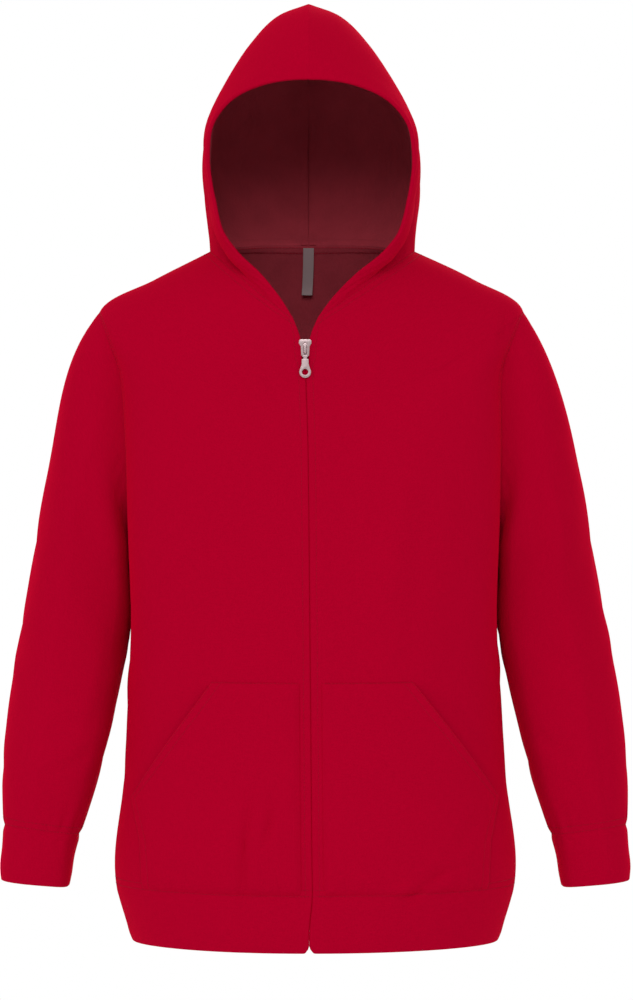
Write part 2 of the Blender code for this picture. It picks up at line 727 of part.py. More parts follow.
def path_normals(path):
    """Unit normals of the centre path, forwards."""
    tangent = np.gradient(path, axis=0)
    normal = np.stack((tangent[:, 0] * 0, -tangent[:, 2], tangent[:, 1]), axis=1)
    return normal / np.linalg.norm(normal, axis=1)[:, None]


def zip_tape(front, band):
    """The +X tape, two points wide, behind the front edge and the waistband's end."""
    edge = np.concatenate((band[:0:-1, 0], front[:, 0]))
    next_in = np.concatenate((band[:0:-1, 1], front[:, 1]))
    away = next_in - edge
    away /= np.linalg.norm(away, axis=1)[:, None]
    start = edge.copy()
    start[:, 0] = zip_edge(edge[:, 2], "tape")
    end = edge + away * (TAPE_WIDTH + start[:, :1] - edge[:, :1])
    behind = -path_normals(centre_path(front, band)) * ZIP_BEHIND
    tape = np.stack((start + behind, end + behind), axis=1)
    tape[-1] += (tape[-2] - tape[-1]) * TAPE_END_SHORT
    return tape


def cut_path(path, low, high):
    """The stretch of a path between two heights, with points added at its ends."""
    z = path[:, 2]
    keep = (z > low + PATH_APART) & (z < high - PATH_APART)
    heights = np.concatenate(([low], z[keep], [high]))
    return np.stack([np.interp(heights, z, path[:, axis]) for axis in range(3)], axis=1)


def strip(path, half):
    """Two rows of points, half to each side of a path."""
    side = np.array((half, 0, 0))
    return np.stack((path - side, path + side), axis=1)


def box_mesh(low, high):
    """A closed box between two corners, as a bmesh."""
    made = bmesh.new()
    bmesh.ops.create_cube(made, size=1)
    for vert in made.verts:
        vert.co = [low[i] + (vert.co[i] + 0.5) * (high[i] - low[i]) for i in range(3)]
    return made


def plate_mesh(outline, back, front):
    """A closed plate of an (x, z) outline that runs anticlockwise seen from the front."""
    made = bmesh.new()
    near = [made.verts.new((x, front, z)) for x, z in outline]
    far = [made.verts.new((x, back, z)) for x, z in outline]
    count = len(outline)
    made.faces.new(near)
    made.faces.new(far[::-1])
    for i in range(count):
        made.faces.new((near[i], far[i], far[(i + 1) % count], near[(i + 1) % count]))
    return made


def arc(centre_x, centre_z, radius, start, stop, cells):
    """Points of an arc, in degrees from +X towards +Z."""
    turns = np.radians(np.linspace(start, stop, cells + 1))
    return [(centre_x + radius * math.cos(t), centre_z + radius * math.sin(t)) for t in turns]


def solid_object(name, made, surface=None):
    """A named object of a bmesh whose points are in millimetres."""
    mesh = bpy.data.meshes.new(name)
    bmesh.ops.scale(made, vec=(MM, MM, MM), verts=made.verts)
    bmesh.ops.recalc_face_normals(made, faces=made.faces)
    made.to_mesh(mesh)
    made.free()
    if surface:
        mesh.materials.append(surface)
    result = bpy.data.objects.new(name, mesh)
    bpy.context.scene.collection.objects.link(result)
    return result


def combine(base, operation, tools):
    """Boolean modifiers on base, one for each tool, which is kept as a hidden guide."""
    for tool in tools:
        tool.hide_render = True
        tool.display_type = "WIRE"
        change = base.modifiers.new(operation.title(), "BOOLEAN")
        change.operation = operation
        change.solver = "EXACT"
        change.object = tool


def place(objects, x, y, z):
    """Puts objects at a point in millimetres."""
    for item in objects:
        item.location = (x * MM, y * MM, z * MM)


def slider_shield():
    """Outline of the slider's plates, from the top edge down: a crown and a narrower body."""
    crown, half = SLIDER_CROWN_HALF, SLIDER_HALF
    cut = SLIDER_CORNER
    right = [(crown - cut, 0), (crown, -cut), (crown, cut - SLIDER_CROWN_LENGTH),
             (half, -SLIDER_CROWN_LENGTH - cut), (half, cut - SLIDER_LENGTH),
             (half - cut, -SLIDER_LENGTH)]
    left = [(-x, z) for x, z in reversed(right)]
    return (right + left)[::-1]


def make_slider(x, y, surface):
    """The slider's body; y is the middle of the front cloth beside it."""
    ahead, behind = PLATE_AHEAD, PLATE_BEHIND
    base = solid_object("zip_slider", plate_mesh(slider_shield(), ahead[1], ahead[0]), surface)
    back = solid_object("slider_back_guide", plate_mesh(slider_shield(), behind[1], behind[0]))
    post = solid_object("slider_post_guide", box_mesh(
        (-POST_HALF, ahead[1] - 0.5, -POST_DROP[1]), (POST_HALF, behind[0] + 0.5, -POST_DROP[0])))
    bail = solid_object("slider_bail_guide", box_mesh(
        (-BAIL_HALF, ahead[0] - BAIL_RISE[1], -BAIL_DROP[1]),
        (BAIL_HALF, ahead[0] + 0.5, -BAIL_DROP[0])))
    window = solid_object("slider_window_guide", box_mesh(
        (-BAIL_HALF - 1, ahead[0] - BAIL_RISE[0], -BAIL_WINDOW_DROP[1]),
        (BAIL_HALF + 1, ahead[0], -BAIL_WINDOW_DROP[0])))
    combine(base, "UNION", [back, post, bail])
    combine(base, "DIFFERENCE", [window])
    place([base, back, post, bail, window], x, y, SLIDER_TOP)
    return base


def pull_outline():
    """Outline of the pull tab about its bar's axis: a narrow head and a wide round foot."""
    foot_z = PULL_BAR - PULL_LENGTH + PULL_FOOT_HALF
    foot = arc(0, foot_z, PULL_FOOT_HALF, 180 - PULL_FOOT_TURN, 360 + PULL_FOOT_TURN, 16)
    neck = -PULL_WINDOW_END - PULL_NECK_DROP
    right = [(PULL_WAIST_HALF, neck), (PULL_HEAD_HALF, PULL_CORNER - PULL_WINDOW_END),
             (PULL_HEAD_HALF, PULL_BAR - PULL_CORNER), (PULL_HEAD_HALF - PULL_CORNER, PULL_BAR)]
    left = [(-x, z) for x, z in reversed(right)]
    return foot + right + left


def make_pull(x, y, surface):
    """The pull tab, with its origin on the axis that it swings about."""
    half = PULL_THICK / 2
    base = solid_object("zip_pull", plate_mesh(pull_outline(), half, -half), surface)
    window = solid_object("pull_window_guide", box_mesh(
        (-PULL_WINDOW_HALF, -half - 1, -PULL_WINDOW_END),
        (PULL_WINDOW_HALF, half + 1, -PULL_BAR)))
    foot_z = PULL_BAR - PULL_LENGTH + PULL_FOOT_HALF
    hole = solid_object("pull_hole_guide", plate_mesh(
        arc(0, foot_z, PULL_HOLE_RADIUS, 0, 337.5, 15), half + 1, -half - 1))
    combine(base, "DIFFERENCE", [window, hole])
    place([base, window, hole], x, y, SLIDER_TOP - PULL_DROP)
    return base


def neck_label(back):
    """A bare tab that hangs inside the back neck."""
    nape = back[::-1, QUARTER_CELLS]
    z = np.linspace(LABEL_TOP, LABEL_BOTTOM, LABEL_CELLS + 1)[::-1]
    order = np.argsort(nape[:, 2])
    y = np.interp(z, nape[order, 2], nape[order, 1]) - LABEL_INSIDE
    path = np.stack((z * 0, y, z), axis=1)
    return strip(path, LABEL_HALF)


def mirrored(grid):
    """The grid's like on the -X side."""
    return grid * (-1, 1, 1)


def build():
    for old in list(bpy.data.objects):
        bpy.data.objects.remove(old)
    red = material("red_fleece", (0.423, 0.0, 0.0203), 0.9)
    tape_red = material("red_zip_tape", (0.30, 0.0, 0.015), 0.8)
    coil_red = material("red_zip_coil", (0.20, 0.0, 0.01), 0.5)
    silver = material("plated_zinc", (0.62, 0.56, 0.56), 0.3, 1.0)
    grey = material("grey_label", (0.16, 0.13, 0.14), 0.8)

    front = front_panel()
    back = back_panel()
    loop = armhole(front, back)
    arm, turns = sleeve(loop)
    wrist = cuff(turns)
    neck = np.concatenate((front[-1], back[-1, 1:QUARTER_CELLS + 1]))
    cowl = hood(neck)
    band = waistband(front, back)

    panels = []

    def panel(name, grid, thick=FLEECE, flip=False, closed=False, surface=red, inner=None):
        grid = folded(name, grid, grid_normals(grid, flip, closed), closed)
        panels.append({"name": name, "grid": grid, "flip": flip, "closed": closed,
                       "outer": thick / 2, "inner": thick / 2 if inner is None else inner,
                       "surface": surface, "normals": grid_normals(grid, flip, closed)})

    hem = np.full(cowl.shape[:2], FLEECE / 2)
    hem[HOOD_HEM_START:, :2] += HOOD_HEM
    for side, turn in (("left", False), ("right", True)):
        half = mirrored if turn else np.array
        panel("front_" + side, half(front), flip=turn)
        panel("sleeve_" + side, half(arm), flip=not turn, closed=True)
        panel("cuff_" + side, half(wrist), DOUBLED, flip=not turn, closed=True)
        panel("hood_" + side, half(cowl), flip=turn, inner=hem)
    panel("back", back)
    panel("waistband", band, DOUBLED, flip=True)
    seam_normals(panels)

    tape = zip_tape(front, band)
    path = centre_path(front, band)
    path -= path_normals(path) * ZIP_BEHIND
    foot = path[0, 2] + STOP_RISE
    loose = []
    for side, turn in (("left", False), ("right", True)):
        half = mirrored if turn else np.array
        under = next(item for item in panels if item["name"] == "front_" + side)
        patch = pocket(half(under["grid"]), half(under["normals"]))
        loose.append(("pocket_" + side, half(patch), FLEECE, turn, red))
        loose.append(("zip_tape_" + side, half(tape), TAPE_THICK, turn, tape_red))
    loose.append(("zip_chain", strip(cut_path(path, foot + STOP_LENGTH + SEAM_GAP, CHAIN_TOP),
                                     CHAIN_HALF), CHAIN_THICK, False, coil_red))
    loose.append(("zip_stop", strip(cut_path(path, foot, foot + STOP_LENGTH), CHAIN_HALF),
                  CHAIN_THICK, False, silver))
    loose.append(("neck_label", neck_label(back), LABEL_THICK, False, grey))
    for name, grid, thick, flip, surface in loose:
        panel(name, grid, thick, flip, surface=surface)
        panels[-1]["shared"] = panels[-1]["normals"]

    for item in panels:
        points, faces = wall_mesh(item)
        add_object(item["name"], points, faces, item["surface"])

    centre = np.array([[0, 0, SLIDER_TOP - SLIDER_LENGTH / 2]])
    x = hang(centre)[0, 0]
    edge = front[:, 0]
    y = np.interp(SLIDER_TOP - SLIDER_LENGTH / 2, edge[:, 2], edge[:, 1])
    make_slider(x, y, silver)
    make_pull(x, y + PLATE_AHEAD[0] - BAIL_RISE[0] / 2, silver)


build()
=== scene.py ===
"""A child's zip-front hooded sweatshirt in plain red brushed-back fleece, filled out as worn.

Lengths are in millimetres until a mesh is made. +X is the wearer's left, -Y the front, +Z up.
"""
import math

import bmesh
import bpy
import numpy as np
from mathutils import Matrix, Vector


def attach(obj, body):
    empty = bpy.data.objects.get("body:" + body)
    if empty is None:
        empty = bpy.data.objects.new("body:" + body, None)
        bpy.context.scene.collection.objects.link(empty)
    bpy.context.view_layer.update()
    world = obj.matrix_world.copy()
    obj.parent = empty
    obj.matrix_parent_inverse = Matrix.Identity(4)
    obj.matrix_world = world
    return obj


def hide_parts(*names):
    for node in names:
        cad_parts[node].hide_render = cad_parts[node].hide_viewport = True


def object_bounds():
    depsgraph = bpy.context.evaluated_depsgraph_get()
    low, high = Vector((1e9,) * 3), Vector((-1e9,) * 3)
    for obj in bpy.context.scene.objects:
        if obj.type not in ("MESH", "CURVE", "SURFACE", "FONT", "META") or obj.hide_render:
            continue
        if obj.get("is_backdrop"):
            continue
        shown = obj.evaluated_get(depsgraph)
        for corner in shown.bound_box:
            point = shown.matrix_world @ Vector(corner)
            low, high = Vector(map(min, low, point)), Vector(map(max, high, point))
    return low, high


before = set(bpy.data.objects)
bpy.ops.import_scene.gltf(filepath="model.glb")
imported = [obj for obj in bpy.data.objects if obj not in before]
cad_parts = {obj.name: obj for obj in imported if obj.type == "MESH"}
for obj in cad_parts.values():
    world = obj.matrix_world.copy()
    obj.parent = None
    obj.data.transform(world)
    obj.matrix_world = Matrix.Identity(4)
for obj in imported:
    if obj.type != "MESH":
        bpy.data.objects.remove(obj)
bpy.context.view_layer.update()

MM = 0.001


# Camera, light and floor
# A long lens looks level at the middle of the garment, as for a catalogue cut-out. The room is
# bright and even, with a large soft lamp high in front and weaker ones behind and beside, so
# the cloth shows little shade.
CAMERA_PLACE = (4.05, -4500.0, -223.2)
PICTURE_HEIGHT = 900.0
SENSOR = 36.0
FAR_CLIP = 100
FLOOR_Z = -1000.0
FLOOR_RADIUS = 2400.0
FLOOR_SIDES = 96
FLOOR_GREY = (0.9, 0.9, 0.9)
FLOOR_ROUGHNESS = 0.9
# Strength of the room's light from below and above, and how far up or down it stops changing
ROOM_BELOW = 0.42
ROOM_ABOVE = 0.68
ROOM_REACH = 0.6
LAMP_AIM = (0, 0, -200)
# Lamps: name, place, size and power in watts
LAMPS = (
    ("high_front_lamp", (-250, -3700, 1950), 1900, 53),
    ("back_lamp", (900, 3600, 1900), 1600, 40),
    ("left_lamp", (-3000, -2200, 100), 1600, 10),
    ("right_lamp", (3000, -2200, 100), 1600, 2),
)


def linear(code):
    """Linear red, green and blue of an sRGB hex colour: each channel over 12.92 when it is dark,
    else raised to 2.4 after an offset."""
    channels = [int(code[i:i + 2], 16) / 255 for i in (1, 3, 5)]
    return tuple(c / 12.92 if c <= 0.04045 else ((c + 0.055) / 1.055) ** 2.4 for c in channels)


def add(tree, kind, inputs=(), **settings):
    """A new node in a tree with its settings. inputs maps a socket's name or number to a value,
    or to another node's output, which is linked to it."""
    node = tree.nodes.new(kind)
    for name, value in settings.items():
        setattr(node, name, value)
    for name, value in dict(inputs).items():
        if isinstance(value, bpy.types.NodeSocket):
            tree.links.new(value, node.inputs[name])
        else:
            node.inputs[name].default_value = value
    return node


def new_material(name, colour, values):
    """A new material of a linear colour with values for its shader's inputs, and its node
    tree and shader."""
    made = bpy.data.materials.new(name)
    made.use_nodes = True
    made.diffuse_color = (*colour, 1)
    shader = made.node_tree.nodes["Principled BSDF"]
    for socket, value in {"Base Color": (*colour, 1), **values}.items():
        shader.inputs[socket].default_value = value
    return made, made.node_tree, shader


def in_scene(name, data):
    """A new object in the scene, at the origin."""
    made = bpy.data.objects.new(name, data)
    bpy.context.scene.collection.objects.link(made)
    return made


def new_mesh(name, points, faces, materials):
    """A mesh of points in mm and faces, with its materials."""
    mesh = bpy.data.meshes.new(name)
    mesh.from_pydata((points.reshape(-1, 3) * MM).tolist(), [], faces)
    for material in materials:
        mesh.materials.append(material)
    return mesh


def circle(count):
    """Turns of points spaced evenly round a circle."""
    return np.linspace(0, 2 * np.pi, count, endpoint=False)


lens = bpy.data.cameras.new("camera")
lens.sensor_width = SENSOR
lens.lens = SENSOR * -CAMERA_PLACE[1] / PICTURE_HEIGHT
lens.clip_end = FAR_CLIP
camera = in_scene("camera", lens)
camera.location = Vector(CAMERA_PLACE) * MM
camera.rotation_euler = (math.pi / 2, 0, 0)
bpy.context.scene.camera = camera
bpy.context.scene.view_settings.view_transform = "Standard"

world = bpy.data.worlds.new("even_room")
bpy.context.scene.world = world
world.use_nodes = True
room = world.node_tree
room.nodes.clear()
direction = add(room, "ShaderNodeTexCoord")
height = add(room, "ShaderNodeSeparateXYZ", {0: direction.outputs["Generated"]})
strength = add(room, "ShaderNodeMapRange", {
    "Value": height.outputs["Z"], "From Min": -ROOM_REACH, "From Max": ROOM_REACH,
    "To Min": ROOM_BELOW, "To Max": ROOM_ABOVE}, interpolation_type="SMOOTHSTEP")
lit = add(room, "ShaderNodeBackground", {"Color": (1, 1, 1, 1), "Strength": strength.outputs[0]})
seen = add(room, "ShaderNodeBackground", {"Color": (1, 1, 1, 1), "Strength": 1.0})
path = add(room, "ShaderNodeLightPath")
both = add(room, "ShaderNodeMixShader", {
    0: path.outputs["Is Camera Ray"], 1: lit.outputs[0], 2: seen.outputs[0]})
add(room, "ShaderNodeOutputWorld", {"Surface": both.outputs[0]})

for name, place, size, power in LAMPS:
    light = bpy.data.lights.new(name, "AREA")
    light.shape = "DISK"
    light.size = size * MM
    light.energy = power
    lamp = in_scene(name, light)
    lamp.location = Vector(place) * MM
    towards = Vector(LAMP_AIM) - Vector(place)
    lamp.rotation_euler = towards.to_track_quat("-Z", "Y").to_euler()

turns = circle(FLOOR_SIDES)
rim = np.stack((np.cos(turns), np.sin(turns), 0 * turns), axis=1) * FLOOR_RADIUS + (0, 0, FLOOR_Z)
paint, _, _ = new_material("pale_matt_floor_paint", FLOOR_GREY, {"Roughness": FLOOR_ROUGHNESS})
in_scene("floor", new_mesh("floor", rim, [list(range(FLOOR_SIDES))], [paint]))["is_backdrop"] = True


# Fleece
# Sweatshirt fleece of cotton and polyester: a fine plain knit outside, which is matt and even,
# and loops brushed up into a soft nap inside, which is paler because its fibres stand open. The
# nap's red is also set darker than its own, as painted shade for the hollow inside the hood.
FLEECE = 2.2
DOUBLED = 3.2
FACE_RED = "#AE0027"
FACE_SHEEN = "#F00030"
# Nap colour: paler than the face, and darkened as painted shade for the inside of the hood
NAP_RED_WITH_PAINTED_SHADE = "#9C3440"
NAP_SHEEN = "#C8606C"
# The real wales are 0.7 mm apart, too fine for the picture, so they are drawn twice as wide
WALE = 1.5
COURSE = 1.2
# How far a loop slants, in courses, and the share of the loops in the relief beside the fuzz
LOOP_SLANT = 0.4
LOOP_SHARE = 0.12
FUZZ = 2.6
# Slubs in the yarn run along the courses, and tufts up the brushing
SLUB = 1.5
SLUB_STRETCH = (0.22, 1, 1)
TUFT = 2.2
TUFT_STRETCH = (1, 1, 0.45)
TUFT_SHARE = 0.6
DRIFT = 22


def maths(tree, operation, *values):
    """Output of a math node."""
    return add(tree, "ShaderNodeMath", enumerate(values), operation=operation).outputs[0]


def ripple(tree, value, period):
    """Sine of a value, one wave to each period in mm."""
    return maths(tree, "SINE", maths(tree, "MULTIPLY_ADD", value, 2 * math.pi / (period * MM), 0.0))


def noise(tree, vector, grain, **values):
    """Noise with a grain in mm."""
    return add(tree, "ShaderNodeTexNoise", {
        "Vector": vector, "Scale": 1 / (grain * MM), **values}).outputs["Fac"]


def tint(tree, shader, colour, value, span, tones):
    """Colours a shader: a colour times a tone that follows a value over its span."""
    tone = add(tree, "ShaderNodeMapRange", {
        "Value": value, "From Min": span[0], "From Max": span[1],
        "To Min": tones[0], "To Max": tones[1]})
    toned = add(tree, "ShaderNodeVectorMath", {
        0: linear(colour), "Scale": tone.outputs[0]}, operation="SCALE")
    tree.links.new(toned.outputs["Vector"], shader.inputs["Base Color"])


def emboss(tree, shader, height, strength, depth):
    """Gives a shader a relief of a depth in mm."""
    bump = add(tree, "ShaderNodeBump", {
        "Height": height, "Strength": strength, "Distance": depth * MM})
    tree.links.new(bump.outputs[0], shader.inputs["Normal"])


def matt(sheen, roughness, colour):
    """Shader values of a matt cloth with a sheen."""
    return {"Roughness": 1.0, "Specular IOR Level": 0.02, "Sheen Weight": sheen,
            "Sheen Roughness": roughness, "Sheen Tint": (*linear(colour), 1)}


def knit_face():
    """Outside of the fleece: columns of small V loops, a faint unevenness of the dye and yarn."""
    made, tree, shader = new_material("brushed_fleece_knit_face", linear(FACE_RED), matt(
        sheen=0.7, roughness=0.5, colour=FACE_SHEEN))
    uv = add(tree, "ShaderNodeUVMap", uv_map="cut").outputs[0]
    parts = add(tree, "ShaderNodeSeparateXYZ", {0: uv})
    wale = ripple(tree, parts.outputs["X"], WALE)
    shifted = maths(tree, "MULTIPLY_ADD", maths(tree, "ABSOLUTE", wale),
                    LOOP_SLANT * COURSE * MM, parts.outputs["Y"])
    loops = maths(tree, "ADD", wale, ripple(tree, shifted, COURSE))
    place = add(tree, "ShaderNodeTexCoord").outputs["Object"]
    fuzz = noise(tree, place, FUZZ, Detail=4.0, Roughness=0.6)
    slubs = add(tree, "ShaderNodeMapping", {"Vector": uv, "Scale": SLUB_STRETCH}).outputs[0]
    yarn = noise(tree, slubs, SLUB, Detail=2.0, Roughness=0.6)
    tint(tree, shader, FACE_RED, yarn, span=(0.3, 0.7), tones=(0.96, 1.02))
    loops = maths(tree, "MULTIPLY_ADD", loops, LOOP_SHARE, fuzz)
    emboss(tree, shader, loops, strength=0.35, depth=0.35)
    return made


def brushed_nap():
    """Inside of the fleece: a soft nap in small tufts, with streaks along the brushing, in a red
    darkened as painted shade.
    """
    made, tree, shader = new_material("brushed_fleece_nap_painted_shade", linear(NAP_RED_WITH_PAINTED_SHADE), matt(
        sheen=0.2, roughness=0.7, colour=NAP_SHEEN))
    place = add(tree, "ShaderNodeTexCoord").outputs["Object"]
    stretched = add(tree, "ShaderNodeMapping", {"Vector": place, "Scale": TUFT_STRETCH}).outputs[0]
    tufts = noise(tree, stretched, TUFT, Detail=5.0, Roughness=0.65)
    drift = noise(tree, place, DRIFT, Detail=2.0)
    mixed = maths(tree, "MULTIPLY_ADD", tufts, TUFT_SHARE, drift)
    tint(tree, shader, NAP_RED_WITH_PAINTED_SHADE, mixed, span=(0.5, 1.1), tones=(0.9, 1.1))
    emboss(tree, shader, tufts, strength=0.7, depth=0.8)
    return made


KNIT = knit_face()
NAP = brushed_nap()


# Front panels
# Each front is one flat-cut piece of fleece from the zip to the side seam. Worn, it lies on
# rings that are part oval and part box, worked out here from the waistband seam to the neck.
# up: way along the side seam, the armhole and the shoulder seam. side_z, front_z, back_z:
# heights of the ring at the side and at the two centres. half, front, back: half width and
# depths. square: 2 is an ellipse, more is boxier. dip: how the front drops from the side to the
# centre, 1 is a straight V. press: how far the arm pushes the side in.
RINGS = (
    ("up", "side_z", "front_z", "back_z", "half", "front", "back", "square", "dip", "press"),
    (0, -568, -572, -569, 178.0, 116, 111, 2.45, 2.0, 0),
    (14, -554, -558, -555, 179.0, 118, 113, 2.45, 2.0, 0),
    (93, -475, -478, -476, 170.8, 117, 112, 2.5, 2.0, 0),
    (179, -389, -391, -389, 167.0, 115, 110, 2.6, 2.0, 1),
    (232, -336, -338, -336, 167.5, 114, 109, 2.8, 2.0, 5),
    (313, -255, -262, -250, 171.5, 112, 107, 3.1, 2.0, 9),
    (400, -170, -205, -180, 173.0, 108, 104, 3.1, 2.0, 6),
    (460, -108, -170, -125, 176.0, 103, 101, 2.8, 2.0, 2),
    (515, -54.5, -140, -78, 189.5, 97, 96, 2.2, 1.9, 0),
    (570, -26, -104, -34, 143.0, 95, 84, 2.1, 1.4, 0),
    (626, -0.5, -63, 9, 91.0, 93.5, 64, 2.05, 1.05, 0),
)
UNDERARM_UP = 313
SHOULDER_UP = 515
NECK_UP = 626
# The back of the neck is nearly level across, so its rise from the side is over early
BACK_LEVEL = 4.0
OUTWARDS = {"front": -1, "back": 1}
# Share of the way to the side where the arm's press begins
PRESS_START = 0.66
# Share of a quarter ring that the armhole takes at its widest
ARMHOLE_DEPTH = {"front": 0.19, "back": 0.24}
ARMHOLE_OVAL = (2.5, 2.2)
# Power of the oval in front above its middle, where the photo shows the seam turn in quickly
ARMHOLE_TOP = 6.0
# How far the cloth's and the tape's edge stand from the zip's centre line
ZIP = (
    ("z", "cloth", "tape"),
    (-572, 0.02, 0.1),
    (-106, 0.03, 0.1),
    (-99, 2.6, 0.5),
    (-91, 3.4, 3.1),
    (-84, 3.7, 4.6),
    (-80.7, 4.1, 5.3),
    (-76.4, 5.3, 6.5),
    (-72.2, 6.8, 8.0),
    (-64.7, 10.0, 11.0),
    (-63, 10.6, 11.5),
)
# Spacing of the cloth's points, and their distances from a seam, where it dips in
PITCH = 4.0
SEAM_LINES = (0, 0.7, 1.4, 2.2, 3.2, 4.6, 6.2, 7.0, 7.8, 9.4, 12.0)
# A row is narrow below this many times the reach of the seam lines
NARROW = 6
ARMHOLE_CELLS = 68
# Steps with which a quarter ring and the armhole are measured
QUARTER_STEPS = 720
ARMHOLE_STEPS = 4000
ARMHOLE_SAMPLE = 50


def column(table, name):
    """One column of a table as an array. The table's first row names its columns."""
    at = table[0].index(name)
    return np.array([row[at] for row in table[1:]], float)


def way_along(points, axis=0):
    """Way along lines of points, which is nothing at the first point."""
    way = np.cumsum(np.linalg.norm(np.diff(points, axis=axis), axis=-1), axis=axis)
    return np.concatenate((0 * way.take([0], axis), way), axis=axis)


def unit(vectors):
    """The same vectors at a length of one."""
    return vectors / np.linalg.norm(vectors, axis=-1)[..., None]


def swell(x):
    """0 below 0, 1 above 1, and half a cosine wave between."""
    return 0.5 - 0.5 * np.cos(np.pi * np.clip(x, 0, 1))


def smooth(keys, rows, widths, at, leave=None):
    """Smooth curve through rows at rising keys: cubic pieces whose slope at a key is the mean
    of the slopes on its two sides, each weighted by the other side's width. leave is the slope
    at the first key."""
    slope = np.diff(rows, axis=0) / widths
    mean = (slope[:-1] * widths[1:] + slope[1:] * widths[:-1]) / (widths[:-1] + widths[1:])
    slopes = np.concatenate((slope[:1] if leave is None else leave[None], mean, slope[-1:]))
    place = np.clip(np.searchsorted(keys, at, side="right") - 1, 0, len(widths) - 1)
    f = np.clip((at - keys[place]) / np.diff(keys)[place], 0, 1)
    f = f.reshape((-1,) + (1,) * (rows.ndim - 1))
    return ((1 + 2 * f) * (1 - f) ** 2 * rows[place]
            + f * (1 - f) ** 2 * widths[place] * slopes[place]
            + f ** 2 * (3 - 2 * f) * rows[place + 1]
            + f ** 2 * (f - 1) * widths[place] * slopes[place + 1])


def through(keys, rows, at):
    """Smooth curve through rows at rising keys, with the keys' own steps as widths."""
    keys = np.asarray(keys, float)
    rows = np.asarray(rows, float)
    widths = np.diff(keys).reshape((-1,) + (1,) * (rows.ndim - 1))
    return smooth(keys, rows, widths, np.atleast_1d(np.asarray(at, float)))


def ring_value(name, up):
    """A ring's value at each way up."""
    return through(column(RINGS, "up"), column(RINGS, name), up)


def zip_edge(z, name="cloth"):
    """Distance from the centre line of the cloth's or the tape's edge at a height."""
    return np.interp(z, column(ZIP, "z"), column(ZIP, name))


def quarter(half, depth, square):
    """Points of a quarter of a superellipse from its centre line to its side, as fractions of
    its half width and depth, and their way along it: sine and cosine, each to 2 over square."""
    turned = np.linspace(0, np.pi / 2, QUARTER_STEPS + 1)
    x = np.sin(turned) ** (2 / square)
    y = np.clip(np.cos(turned), 0, 1) ** (2 / square)
    return x, y, way_along(np.stack((x * half, y * depth), axis=1))


def quarter_length(up, face):
    """Length of the front or back quarter ring at each way up."""
    sizes = zip(*(ring_value(name, up) for name in ("half", face, "square")))
    return np.array([quarter(*row)[2][-1] for row in sizes])


def body(up, across, face):
    """Middle of the body's cloth on its +X half. up (R) are ways along the side, across (R, C)
    the ways along the quarter ring from the centre, and face is front or back."""
    half, depth, square, side_z, centre_z, press, dip = (
        ring_value(name, up)
        for name in ("half", face, "square", "side_z", face + "_z", "press", "dip"))
    if face == "back":
        dip[:] = BACK_LEVEL
    points = np.empty(across.shape + (3,))
    for row in range(len(up)):
        ring_x, ring_y, way = quarter(half[row], depth[row], square[row])
        x = np.interp(across[row], way, ring_x)
        y = np.interp(across[row], way, ring_y)
        z = side_z[row] + (centre_z[row] - side_z[row]) * (1 - x ** dip[row])
        edge = zip_edge(z[0]) if face == "front" else 0.0
        share = across[row] / way[-1]
        pushed = press[row] * swell((share - PRESS_START) / (1 - PRESS_START))
        points[row, :, 0] = edge + (half[row] - edge) * x - pushed
        points[row, :, 1] = OUTWARDS[face] * depth[row] * y
        points[row, :, 2] = z
    return points


def panel_share(up, face):
    """Share of the quarter ring that belongs to a panel: all of it but for the armhole's oval."""
    off = (up - (UNDERARM_UP + SHOULDER_UP) / 2) / ((SHOULDER_UP - UNDERARM_UP) / 2)
    power = np.where((off > 0) & (face == "front"), ARMHOLE_TOP, ARMHOLE_OVAL[0])
    inside = np.clip(1 - np.abs(off) ** power, 0, 1)
    return 1 - ARMHOLE_DEPTH[face] * inside ** (1 / ARMHOLE_OVAL[1])


def spaced(length, first=(0,), last=(0,)):
    """Offsets from 0 to a length: the given ones near its start and its end, and even steps of
    about the pitch between them."""
    high = [length - v for v in reversed(last)]
    count = max(2, round((high[0] - first[-1]) / PITCH))
    return np.concatenate((first[:-1], np.linspace(first[-1], high[0], count + 1), high[1:]))


def spread(widths):
    """Offsets across rows of various widths, with the seam lines at both ends: the number of
    steps suits the widest row, and a narrow row draws its seam lines closer."""
    lines = np.array(SEAM_LINES)
    count = max(2, round((widths.max() - 2 * lines[-1]) / PITCH))
    rise = np.linspace(0, 1, count + 1)
    scale = np.minimum(1, widths / (NARROW * lines[-1] + 1))[:, None]
    low = lines * scale
    high = widths[:, None] - lines[::-1] * scale
    middle = low[:, -1:] + (high[:, :1] - low[:, -1:]) * rise
    return np.concatenate((low[:, :-1], middle, high[:, 1:]), axis=1)


def armhole_ups():
    """Ways up of the armhole's rows, evenly spaced along the front's armhole edge."""
    fine = np.linspace(UNDERARM_UP, SHOULDER_UP, ARMHOLE_STEPS + 1)
    in_by = panel_share(fine, "front") * quarter_length(fine[::ARMHOLE_SAMPLE], "front").mean()
    way = way_along(np.stack((fine, in_by), axis=1))
    return np.interp(np.linspace(0, way[-1], ARMHOLE_CELLS + 1), way, fine)


def panel(face):
    """Widths of a body panel's +X half at each way up, its ways across and its points."""
    widths = panel_share(UPS, face) * quarter_length(UPS, face)
    across = spread(widths)
    return widths, across, body(UPS, across, face)


def flat_cut(across, up):
    """Places on the flat cut, from the ways across, for each row or for all, and each row's
    way up."""
    across = np.broadcast_to(across, (len(up), np.shape(across)[-1]))
    return np.stack((across, np.repeat(up[:, None], across.shape[1], 1)), axis=2)


LOWER_UPS = spaced(UNDERARM_UP, SEAM_LINES, SEAM_LINES)
UPPER_UPS = SHOULDER_UP + spaced(NECK_UP - SHOULDER_UP, (0,), SEAM_LINES)
UPS = np.concatenate((LOWER_UPS[:-1], armhole_ups(), UPPER_UPS[1:]))
UNDERARM_ROW = len(LOWER_UPS) - 1
SHOULDER_ROW = UNDERARM_ROW + ARMHOLE_CELLS

front_widths, front_across, front = panel("front")
front_cut = flat_cut(front_across, UPS)


